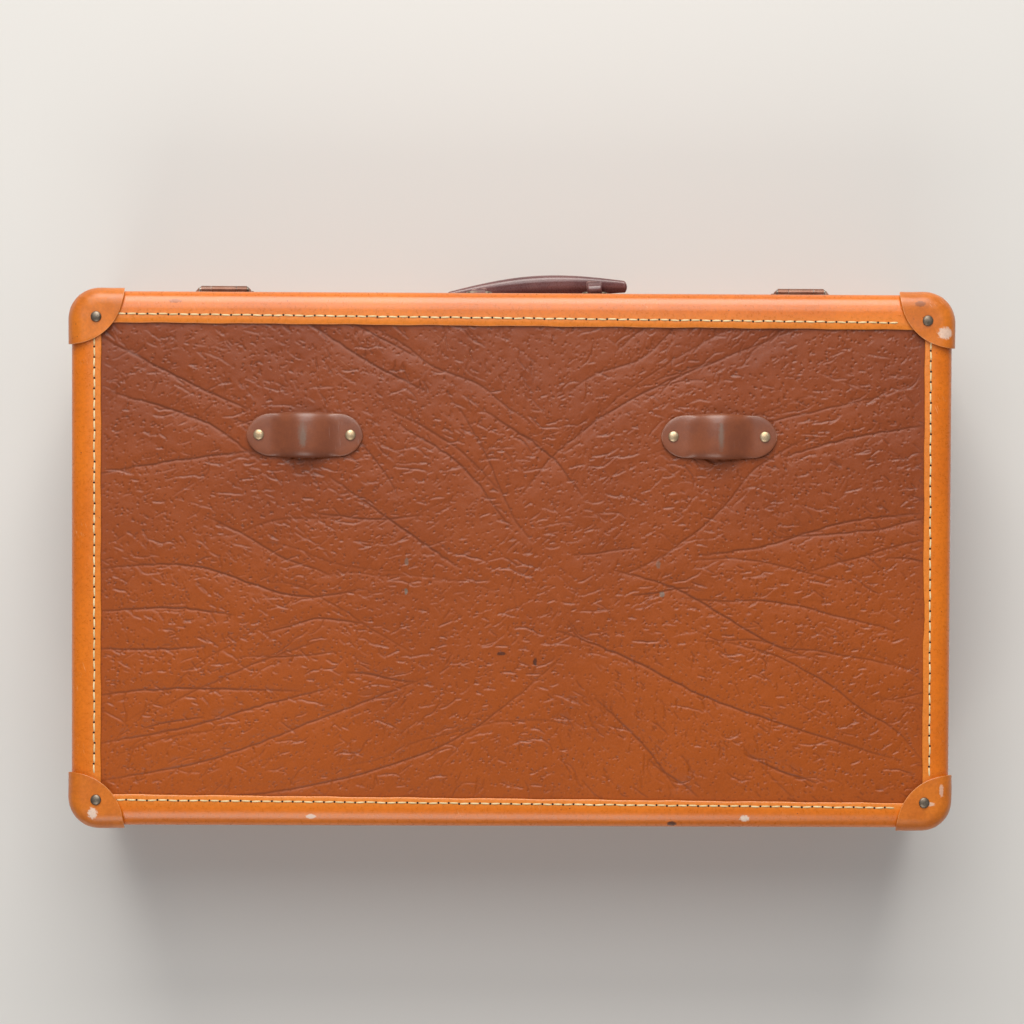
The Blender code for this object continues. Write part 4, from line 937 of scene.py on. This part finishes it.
def build_stitches():
    """The sewing on the bindings of both halves."""
    clear = []
    for plate, side in (("lid_hinge_leaf", 1), ("lock_case", -1)):
        for where in ("left", "right"):
            low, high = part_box(f"{plate}_{where}")
            clear.append((low[0], high[0], side))
    even = {name: (FACE_STITCH_INSET,) * 2 for name in LID_SEAM}
    for body, face_z, outward, seam, leg_z, rim_z in (
        ("lid", binding_high[2], 1, LID_SEAM, binding_low[2], LID_RIM),
        ("base", base_binding_low[2], -1, even, base_binding_high[2], BASE_RIM),
    ):
        thread, holes = Shape(), Shape()
        sew_face(thread, holes, face_z, outward, seam)
        sew_leg(thread, holes, leg_z + outward * LEG_STITCH_INSET)
        sew_rim(thread, holes, rim_z - outward * RIM_STITCH_INSET, clear)
        thread.made(f"{body}_stitches", "thread", body)
        # The needle holes' dark discs are painted shade.
        holes.made(f"{body}_needle_hole_shades", "needle_hole_shade", body, smooth=False)


# Shader groups


def shade_node(tree, kind, inputs=(), **settings):
    """Adds a shader node; inputs maps a socket to a value or to another node's output."""
    made = tree.nodes.new(kind)
    for name, value in settings.items():
        setattr(made, name, value)
    for key, value in dict(inputs).items():
        if isinstance(value, bpy.types.NodeSocket):
            tree.links.new(value, made.inputs[key])
        else:
            made.inputs[key].default_value = value
    return made


def object_place(tree):
    return shade_node(tree, "ShaderNodeTexCoord").outputs["Object"]


def ranged(tree, value, low, high, start=0.0, end=1.0):
    """value mapped from low..high to start..end, smoothly and kept inside."""
    inputs = {"Value": value, "From Min": low, "From Max": high, "To Min": start, "To Max": end}
    made = shade_node(tree, "ShaderNodeMapRange", inputs, interpolation_type="SMOOTHSTEP")
    return made.outputs["Result"]


def maths(tree, operation, first, second):
    made = shade_node(tree, "ShaderNodeMath", {0: first, 1: second}, operation=operation)
    return made.outputs["Value"]


def vector_maths(tree, operation, first, second=(0, 0, 0)):
    inputs = {0: first, 1: second}
    return shade_node(tree, "ShaderNodeVectorMath", inputs, operation=operation).outputs


def mixed(tree, share, first, second):
    """A colour share of the way from first to second."""
    inputs = {0: share, 6: first, 7: second}
    return shade_node(tree, "ShaderNodeMix", inputs, data_type="RGBA").outputs[2]


def noise(tree, place, scale, detail, roughness=0.5):
    inputs = {"Vector": place, "Scale": scale, "Detail": detail, "Roughness": roughness}
    return shade_node(tree, "ShaderNodeTexNoise", inputs).outputs["Fac"]


def cells(tree, place, scale, feature):
    inputs = {"Vector": place, "Scale": scale}
    return shade_node(tree, "ShaderNodeTexVoronoi", inputs, feature=feature).outputs["Distance"]


def edge_wear(tree, place, given):
    """Where an edge stands out and has been rubbed, broken up by noise."""
    rounded = shade_node(tree, "ShaderNodeBevel", {"Radius": given["Width"]}, samples=6)
    normal = shade_node(tree, "ShaderNodeNewGeometry").outputs["Normal"]
    alike = vector_maths(tree, "DOT_PRODUCT", rounded.outputs["Normal"], normal)["Value"]
    patches = noise(tree, place, given["Breakup"], 5.0)
    top = maths(tree, "ADD", given["Keep"], 0.12)
    inputs = {"Value": patches, "From Min": given["Keep"], "From Max": top}
    patchy = shade_node(tree, "ShaderNodeMapRange", inputs).outputs["Result"]
    return [maths(tree, "MULTIPLY", ranged(tree, alike, 0.995, 0.9), patchy)]


def mark(tree, place, given):
    """One ragged mark round Centre; Reach is how far it goes along each axis."""
    away = vector_maths(tree, "SUBTRACT", place, given["Centre"])["Vector"]
    away = vector_maths(tree, "DIVIDE", away, given["Reach"])["Vector"]
    distance = vector_maths(tree, "LENGTH", away)["Value"]
    ragged = maths(tree, "MULTIPLY", noise(tree, place, 620.0, 3.0), given["Ragged"])
    return [ranged(tree, maths(tree, "ADD", distance, ragged), 1.1, 0.8)]


def mottle(tree, place, given):
    """A colour that drifts between two."""
    share = ranged(tree, noise(tree, place, given["Scale"], 6.0, 0.6), 0.35, 0.68)
    share = maths(tree, "MULTIPLY", share, given["Strength"])
    return [mixed(tree, share, given["Main"], given["Other"]), share]


def grain(tree, place, given):
    """Fine pebbling: small cells over a soft noise."""
    soft = noise(tree, place, given["Scale"], 4.0, 0.65)
    dimples = cells(tree, place, given["Scale"], "SMOOTH_F1")
    dimples = maths(tree, "MULTIPLY", dimples, given["Cells"])
    return [maths(tree, "ADD", soft, dimples), ranged(tree, soft, 0.35, 0.65)]


def scratches(tree, place, given):
    """Thin broken scratches that run one way, turned by Angle."""
    inputs = {"Vector": place, "Angle": given["Angle"]}
    way = shade_node(tree, "ShaderNodeVectorRotate", inputs, rotation_type="Z_AXIS")
    inputs = {"Vector": way.outputs["Vector"], "Scale": (0.06, 1.0, 1.0)}
    drawn_out = shade_node(tree, "ShaderNodeMapping", inputs).outputs["Vector"]
    line = ranged(tree, noise(tree, drawn_out, 1300.0, 2.0), 0.64, 0.72)
    patch = ranged(tree, noise(tree, place, given["Scale"], 4.0), 0.52, 0.66)
    both = maths(tree, "MULTIPLY", line, patch)
    return [maths(tree, "MULTIPLY", both, given["Amount"])]


def specks(tree, place, given):
    """Small specks of lost colour or dirt."""
    near = cells(tree, place, given["Scale"], "F1")
    near = maths(tree, "LESS_THAN", near, given["Size"])
    rare = ranged(tree, noise(tree, place, 26.0, 3.0), 0.5, 0.7)
    return [maths(tree, "MULTIPLY", near, rare)]


# The sockets of the groups that hold no plain number
SOCKET_KINDS = {
    "Main": "NodeSocketColor",
    "Other": "NodeSocketColor",
    "Colour": "NodeSocketColor",
    "Centre": "NodeSocketVector",
    "Reach": "NodeSocketVector",
}


def new_group(name, build, inputs, outputs):
    """A node group with named sockets, whose outputs build gives in their order."""
    tree = bpy.data.node_groups.new(name, "ShaderNodeTree")
    for label in (*inputs, *outputs):
        way = "INPUT" if label in inputs else "OUTPUT"
        kind = SOCKET_KINDS.get(label, "NodeSocketFloat")
        socket = tree.interface.new_socket(label, in_out=way, socket_type=kind)
        if label in inputs:
            socket.default_value = inputs[label]
    given = tree.nodes.new("NodeGroupInput").outputs
    wanted = tree.nodes.new("NodeGroupOutput").inputs
    for label, value in zip(outputs, build(tree, object_place(tree), given)):
        tree.links.new(value, wanted[label])
    return tree


GREY = (0.5, 0.5, 0.5, 1)
GROUPS = {
    name: new_group(name, build, inputs, outputs)
    for name, build, inputs, outputs in (
        ("edge_wear", edge_wear, {"Width": 0.001, "Breakup": 90.0, "Keep": 0.5}, ("Mask",)),
        ("mark", mark, {"Centre": (0, 0, 0), "Reach": (1, 1, 1), "Ragged": 0.7}, ("Mask",)),
        (
            "mottle",
            mottle,
            {"Main": GREY, "Other": GREY, "Scale": 10.0, "Strength": 1.0},
            ("Colour", "Mask"),
        ),
        ("grain", grain, {"Scale": 900.0, "Cells": 0.5}, ("Height", "Mask")),
        ("scratches", scratches, {"Scale": 30.0, "Angle": 0.0, "Amount": 0.5}, ("Mask",)),
        ("specks", specks, {"Scale": 400.0, "Size": 0.12}, ("Mask",)),
    )
}


def grouped(tree, name, inputs):
    return shade_node(tree, "ShaderNodeGroup", inputs, node_tree=GROUPS[name]).outputs


# Finishes


def srgb(colour):
    """A colour given from 0 to 255, as the light values that shaders use."""
    shares = [part / 255 for part in colour]
    linear = [
        share / 12.92 if share <= 0.04045 else ((share + 0.055) / 1.055) ** 2.4
        for share in shares
    ]
    return (*linear, 1.0)


GREY_SCUFF = (122, 108, 96)
DARK_TEAR = (66, 34, 24)
PALE_FLECK = (240, 222, 205)
GRIME = (0.02, 0.012, 0.01, 1)
BUMP_DEPTH = 0.00012
WEAR = 0.0009
# Marks of the lid: x, y and z, how far they reach in x and y, their paint and how much it covers
BOARD_MARKS = (
    (0.0826, 0.0112, LID_FACE, 0.0026, 0.0055, GREY_SCUFF, 0.6),
    (0.0830, 0.0348, LID_FACE, 0.0022, 0.0042, GREY_SCUFF, 0.85),
    (-0.1157, 0.0128, LID_FACE, 0.0030, 0.0050, GREY_SCUFF, 0.5),
    (-0.1188, 0.0364, LID_FACE, 0.0032, 0.0036, GREY_SCUFF, 0.8),
    (0.0079, 0.0836, LID_FACE, 0.0060, 0.0024, DARK_TEAR, 0.8),
    (-0.0189, 0.0899, LID_FACE, 0.0024, 0.0052, DARK_TEAR, 0.8),
)
FIBRE_MARKS = (
    (-0.1275, 0.2178, 0.181, 0.0060, 0.0034, DARK_TEAR, 0.9),
    (0.1574, 0.2128, 0.184, 0.0062, 0.0030, PALE_FLECK, 0.75),
    (-0.1850, 0.2134, 0.184, 0.0062, 0.0042, PALE_FLECK, 0.85),
    (0.2650, -0.1926, 0.184, 0.0080, 0.0026, DARK_TEAR, 0.45),
    (0.1050, -0.1800, 0.184, 0.0050, 0.0016, DARK_TEAR, 0.35),
)
CAP_MARKS = (
    (-0.3400, -0.1700, 0.185, 0.0090, 0.0075, PALE_FLECK, 0.7),
    (-0.3203, -0.1930, 0.185, 0.0070, 0.0036, DARK_TEAR, 0.5),
    (0.3290, 0.2103, 0.185, 0.0060, 0.0070, PALE_FLECK, 0.8),
    (-0.3300, 0.2010, 0.185, 0.0080, 0.0030, PALE_FLECK, 0.55),
    (-0.3400, 0.1900, 0.185, 0.0030, 0.0080, PALE_FLECK, 0.45),
)
LOOP_MARKS = (
    (0.1640, -0.0880, 0.192, 0.0062, 0.0170, GREY_SCUFF, 0.3),
    (0.1636, -0.0860, 0.192, 0.0036, 0.0120, GREY_SCUFF, 0.4),
    (-0.1640, -0.0880, 0.192, 0.0042, 0.0190, GREY_SCUFF, 0.3),
    (-0.1640, -0.0890, 0.192, 0.0026, 0.0150, GREY_SCUFF, 0.4),
)


def noted(tree, name):
    return shade_node(tree, "ShaderNodeAttribute", attribute_name=name).outputs["Fac"]


def board_tint(tree, colour):
    """Duller at the front and warmer at the hinges, partly the board's own tone and partly painted light, and
    darkened with painted shade on the upper side of each groove.
    """
    parts = shade_node(tree, "ShaderNodeSeparateXYZ", {"Vector": object_place(tree)})
    # The front is painted duller and the hinge side warmer: partly the board's own tone and partly painted light.
    share = ranged(tree, parts.outputs["Y"], -0.19, 0.2)
    dull = mixed(tree, 0.55, colour, srgb((108, 52, 36)))
    warm = mixed(tree, 0.35, colour, srgb((164, 78, 10)))
    # Painted shade darkens the upper side of each groove.
    depth = maths(tree, "MULTIPLY", noted(tree, "painted_groove_shade"), 0.8)
    return mixed(tree, depth, mixed(tree, share, dull, warm), srgb((70, 28, 12)))


def fibre_tint(tree, colour):
    """The binding is paler inside its stitches."""
    share = maths(tree, "MULTIPLY", noted(tree, "strip"), 0.35)
    return mixed(tree, share, colour, srgb((238, 150, 60)))


def lining_tint(tree, colour):
    """A faint woven stripe both ways."""
    inputs = {"Vector": object_place(tree), "Scale": 16.0, "Distortion": 0.3, "Detail": 1.0}
    for axis in ("X", "Y"):
        stripes = shade_node(tree, "ShaderNodeTexWave", inputs, bands_direction=axis)
        share = maths(tree, "MULTIPLY", ranged(tree, stripes.outputs["Fac"], 0.62, 0.72), 0.3)
        colour = mixed(tree, share, colour, srgb((150, 118, 84)))
    return colour


def finish_material(
    name,
    main,
    other,
    rough,
    drift=(14.0, 0.8),
    pebbles=(900.0, 0.4),
    bump=0.35,
    metal=0.0,
    coat=0.0,
    sheen=0.0,
    shine=0.5,
    wear=None,
    scratch=None,
    speck=None,
    tint=None,
    marks=(),
    mark_depth=0.01,
):
    """A worn surface: drifting colour, rubbed edges, scratches, specks, grain and its bump.

    drift is the mottling's scale and strength, and pebbles the grain's scale and cells.
    wear is its colour, width and keep, scratch its colour, angle and amount, and speck its
    colour, scale and size."""
    material = bpy.data.materials.new(name)
    material.use_nodes = True
    tree = material.node_tree
    shader = tree.nodes["Principled BSDF"].inputs
    paints = {"Main": srgb(main), "Other": srgb(other), "Scale": drift[0], "Strength": drift[1]}
    colour = grouped(tree, "mottle", paints)["Colour"]
    hide = grouped(tree, "grain", {"Scale": pebbles[0], "Cells": pebbles[1]})
    if tint:
        colour = tint(tree, colour)
    for *centre, reach_x, reach_y, paint, cover in marks:
        reach = (reach_x, reach_y, mark_depth)
        mask = grouped(tree, "mark", {"Centre": centre, "Reach": reach})["Mask"]
        colour = mixed(tree, maths(tree, "MULTIPLY", mask, cover), colour, srgb(paint))
    darker = mixed(tree, 0.22, colour, GRIME)
    colour = mixed(tree, maths(tree, "MULTIPLY", hide["Mask"], 0.55), darker, colour)
    for group, labels, values in (
        ("scratches", ("Angle", "Amount"), scratch),
        ("specks", ("Scale", "Size"), speck),
        ("edge_wear", ("Width", "Keep"), wear),
    ):
        if values:
            mask = grouped(tree, group, dict(zip(labels, values[1:])))["Mask"]
            colour = mixed(tree, mask, colour, srgb(values[0]))
    roughness = ranged(tree, hide["Height"], 0.3, 1.0, rough - 0.07, rough + 0.09)
    inputs = {"Strength": bump, "Distance": BUMP_DEPTH, "Height": hide["Height"]}
    dents = shade_node(tree, "ShaderNodeBump", inputs)
    tree.links.new(colour, shader["Base Color"])
    tree.links.new(roughness, shader["Roughness"])
    tree.links.new(dents.outputs["Normal"], shader["Normal"])
    shader["Metallic"].default_value = metal
    shader["Coat Weight"].default_value = coat
    shader["Coat Roughness"].default_value = 0.25
    shader["Sheen Weight"].default_value = sheen
    shader["Specular IOR Level"].default_value = shine
    return material


# CAD pieces keep their shape and take the finish of their slot; thread and the painted shade of the needle holes
# are for the sewing alone.
FINISHES = {
    "board": finish_material(
        "embossed_board", (176, 82, 8), (150, 66, 8), 0.38, (5.0, 0.75), (700.0, 0.4),
        bump=0.5, coat=0.04, shine=0.36, scratch=((165, 110, 80), 0.7, 0.3),
        speck=((180, 130, 95), 260.0, 0.08), tint=board_tint, marks=BOARD_MARKS,
    ),
    "collar": finish_material(
        "raw_board", (120, 76, 46), (100, 62, 40), 0.8, pebbles=(500.0, 0.4)
    ),
    "fibre": finish_material(
        "edge_fibre", (230, 120, 8), (214, 106, 6), 0.33, (9.0, 0.7), (350.0, 0.1),
        bump=0.2, coat=0.3, wear=((238, 178, 120), WEAR, 0.42),
        scratch=((240, 190, 140), 1.2, 0.35), speck=((110, 50, 20), 140.0, 0.07),
        tint=fibre_tint, marks=FIBRE_MARKS,
    ),
    "cap": finish_material(
        "corner_fibre", (220, 120, 22), (198, 102, 20), 0.4, (34.0, 0.85), (420.0, 0.15),
        bump=0.25, coat=0.2, wear=((236, 180, 130), WEAR, 0.38),
        scratch=((235, 195, 160), 0.9, 0.6), speck=((90, 45, 22), 220.0, 0.09),
        marks=CAP_MARKS, mark_depth=0.02,
    ),
    "strap_leather": finish_material(
        "strap_leather", (140, 74, 40), (118, 60, 34), 0.4, (40.0, 0.8), (1100.0, 0.4),
        bump=0.3, coat=0.35, wear=((205, 165, 145), WEAR, 0.4),
        scratch=((150, 120, 110), 1.5, 0.4), marks=LOOP_MARKS,
    ),
    "grip_leather": finish_material(
        "grip_leather", (118, 72, 70), (88, 44, 46), 0.28, (30.0, 0.8), (1000.0, 0.4),
        coat=0.5, wear=((190, 150, 140), WEAR, 0.4),
    ),
    "lacquered_metal": finish_material(
        "lacquered_metal", (146, 98, 76), (118, 76, 58), 0.32, (60.0, 0.8), (1500.0, 0.2),
        bump=0.12, metal=0.35, wear=((205, 195, 185), WEAR, 0.5),
        scratch=((190, 170, 160), 0.5, 0.4),
    ),
    "steel": finish_material(
        "steel", (146, 134, 120), (108, 94, 80), 0.46, (160.0, 0.8), (1600.0, 0.2),
        bump=0.2, metal=0.9, wear=((220, 215, 205), 0.0004, 0.45),
    ),
    "brass": finish_material(
        "brass", (222, 198, 164), (190, 160, 120), 0.45, (220.0, 0.8), (1600.0, 0.2),
        bump=0.15, metal=0.85,
    ),
    "lining": finish_material(
        "lining_paper", (206, 184, 148), (190, 164, 126), 0.8, (12.0, 0.8), (600.0, 0.4),
        bump=0.2, speck=((150, 120, 88), 160.0, 0.1), tint=lining_tint,
    ),
    "thread": finish_material(
        "thread", (252, 230, 178), (224, 196, 140), 0.7, (90.0, 0.8), (2600.0, 0.4),
        bump=0.4, sheen=0.3,
    ),
    # Painted shade: the dark of the needle holes, on flat discs.
    "needle_hole_shade": finish_material(
        "needle_hole_shade", (46, 22, 12), (30, 14, 8), 0.85, pebbles=(1500.0, 0.4)
    ),
}


def dress_frame():
    """Gives every CAD node the finish of its slot in the record."""
    for part in frame["record"]["subparts"]:
        materials = frame["nodes"][part["node"]].data.materials
        materials.clear()
        materials.append(FINISHES[part["material_slot"]])


def build_covers():
    """The embossed faces of both halves, and the paper round their bands."""
    embossed_plate("lid_board", "lid", LID_FACE, 1, 11, LID_GRID, "lid_panel")
    embossed_plate("base_board", "base", BASE_FACE, -1, 12, BASE_GRID, "base_panel")
    low, high = LID_RIM - COVER_PAST_RIM, binding_low[2] + COVER_PAST_LEG
    embossed_cover("lid_side_cover", "lid", low, high, 21)
    low, high = base_binding_high[2] - COVER_PAST_LEG, BASE_RIM + COVER_PAST_RIM
    embossed_cover("base_side_cover", "base", low, high, 22)


def rivet_heads(name, body, node, outward, pairs, radius, slot):
    """Small domed heads on a plate, at pairs of shares of its two sides."""
    low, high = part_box(node)
    outward = Vector(outward)
    sides = [axis for axis in range(3) if outward[axis] == 0]
    foot = [(radius * 0.96, -RIVET_SINK), (radius, 0.0)]
    profile = dome(foot, radius, 0.0, RIVET_DOME_SHARE * radius, RIVET_STEPS, 1e-6)
    shape = Shape()
    for shares in pairs:
        place = [(low[axis] + high[axis]) / 2 for axis in range(3)]
        for axis, share in zip(sides, shares):
            place[axis] = low[axis] + (high[axis] - low[axis]) * share
        above = Vector(place) + RIVET_SEARCH * outward
        found, spot, *_ = frame["nodes"][node].ray_cast(above, -outward)
        if not found:
            raise ValueError(f"no surface of {node} lies under a rivet")
        shape.add(*turned(profile, spot, outward, RIVET_SIDES))
    shape.made(name, slot, body)


def build_rivets():
    """The small rivets that hold the hinges, locks, handle brackets and stay."""
    bpy.context.view_layer.update()
    back, front, inward = (0, 1, 0), (0, -1, 0), (-1, 0, 0)
    for side in ("left", "right"):
        for body, level in (("base", 0.3), ("lid", 0.7)):
            name, node = f"{body}_hinge_rivets_{side}", f"{body}_hinge_leaf_{side}"
            pairs = ((0.14, level), (0.5, level), (0.86, level))
            rivet_heads(name, body, node, back, pairs, LEAF_RIVET, "lacquered_metal")
        for plate, body, pairs in (
            ("hasp_plate", "lid", HASP_PLATE_SHARES),
            ("handle_bracket", "base", BRACKET_SHARES),
        ):
            node = f"{plate}_{side}"
            name = f"{node}_rivets"
            rivet_heads(name, body, node, front, pairs, PLATE_RIVET, "lacquered_metal")
    for node, body in (("stay_foot_plate", "base"), ("stay_head_plate", "lid")):
        name = f"{node}_rivets"
        rivet_heads(name, body, node, inward, STAY_PLATE_SHARES, PLATE_RIVET, "steel")


# Floor, light and camera


def build_stage():
    reach = 4.0
    corners = [(-reach, -reach, 0), (reach, -reach, 0), (reach, reach, 0), (-reach, reach, 0)]
    floor_mesh = bpy.data.meshes.new("floor")
    floor_mesh.from_pydata(corners, [], [(0, 1, 2, 3)])
    pale = bpy.data.materials.new("pale_floor")
    pale.use_nodes = True
    shader = pale.node_tree.nodes["Principled BSDF"]
    shader.inputs["Base Color"].default_value = (0.66, 0.65, 0.63, 1)
    shader.inputs["Roughness"].default_value = 0.8
    floor_mesh.materials.append(pale)
    floor = bpy.data.objects.new("floor", floor_mesh)
    bpy.context.scene.collection.objects.link(floor)


def area_light(name, place, aim, size, watts, colour):
    data = bpy.data.lights.new(name, "AREA")
    data.shape = "RECTANGLE"
    data.size, data.size_y = size
    data.energy = watts
    data.color = colour
    lamp = bpy.data.objects.new(name, data)
    lamp.location = place
    lamp.rotation_euler = (Vector(aim) - Vector(place)).to_track_quat("-Z", "Y").to_euler()
    bpy.context.scene.collection.objects.link(lamp)


def build_light():
    area_light("key", (0.1, -2.6, 1.95), (0, 0, 0.15), (2.4, 1.9), 104, (1, 0.965, 0.91))
    area_light("upper", (0.1, -1.1, 2.6), (0, 0, 0.15), (1.8, 1.0), 22, (1, 0.985, 0.96))
    area_light("fill", (0.3, 1.8, 1.9), (0, 0, 0.1), (1.6, 1.2), 20, (1, 0.96, 0.9))
    world = bpy.data.worlds.new("soft_room")
    world.use_nodes = True
    background = world.node_tree.nodes["Background"]
    background.inputs["Color"].default_value = (0.92, 0.95, 1, 1)
    background.inputs["Strength"].default_value = 0.22
    bpy.context.scene.world = world
    bpy.context.scene.view_settings.view_transform = "Standard"


def build_camera():
    data = bpy.data.cameras.new("camera")
    data.lens = 89.34
    data.sensor_width = 36
    data.shift_x = -0.0202
    data.shift_y = 0.0591
    camera = bpy.data.objects.new("camera", data)
    camera.location = (0, -0.0265, 2.185)
    camera.rotation_euler = [math.radians(turn) for turn in (-1.319, -0.472, 180.256)]
    bpy.context.scene.collection.objects.link(camera)
    bpy.context.scene.camera = camera


dress_frame()
build_covers()
build_edges()
build_handle()
build_stitches()
build_rivets()
build_stage()
build_light()
build_camera()
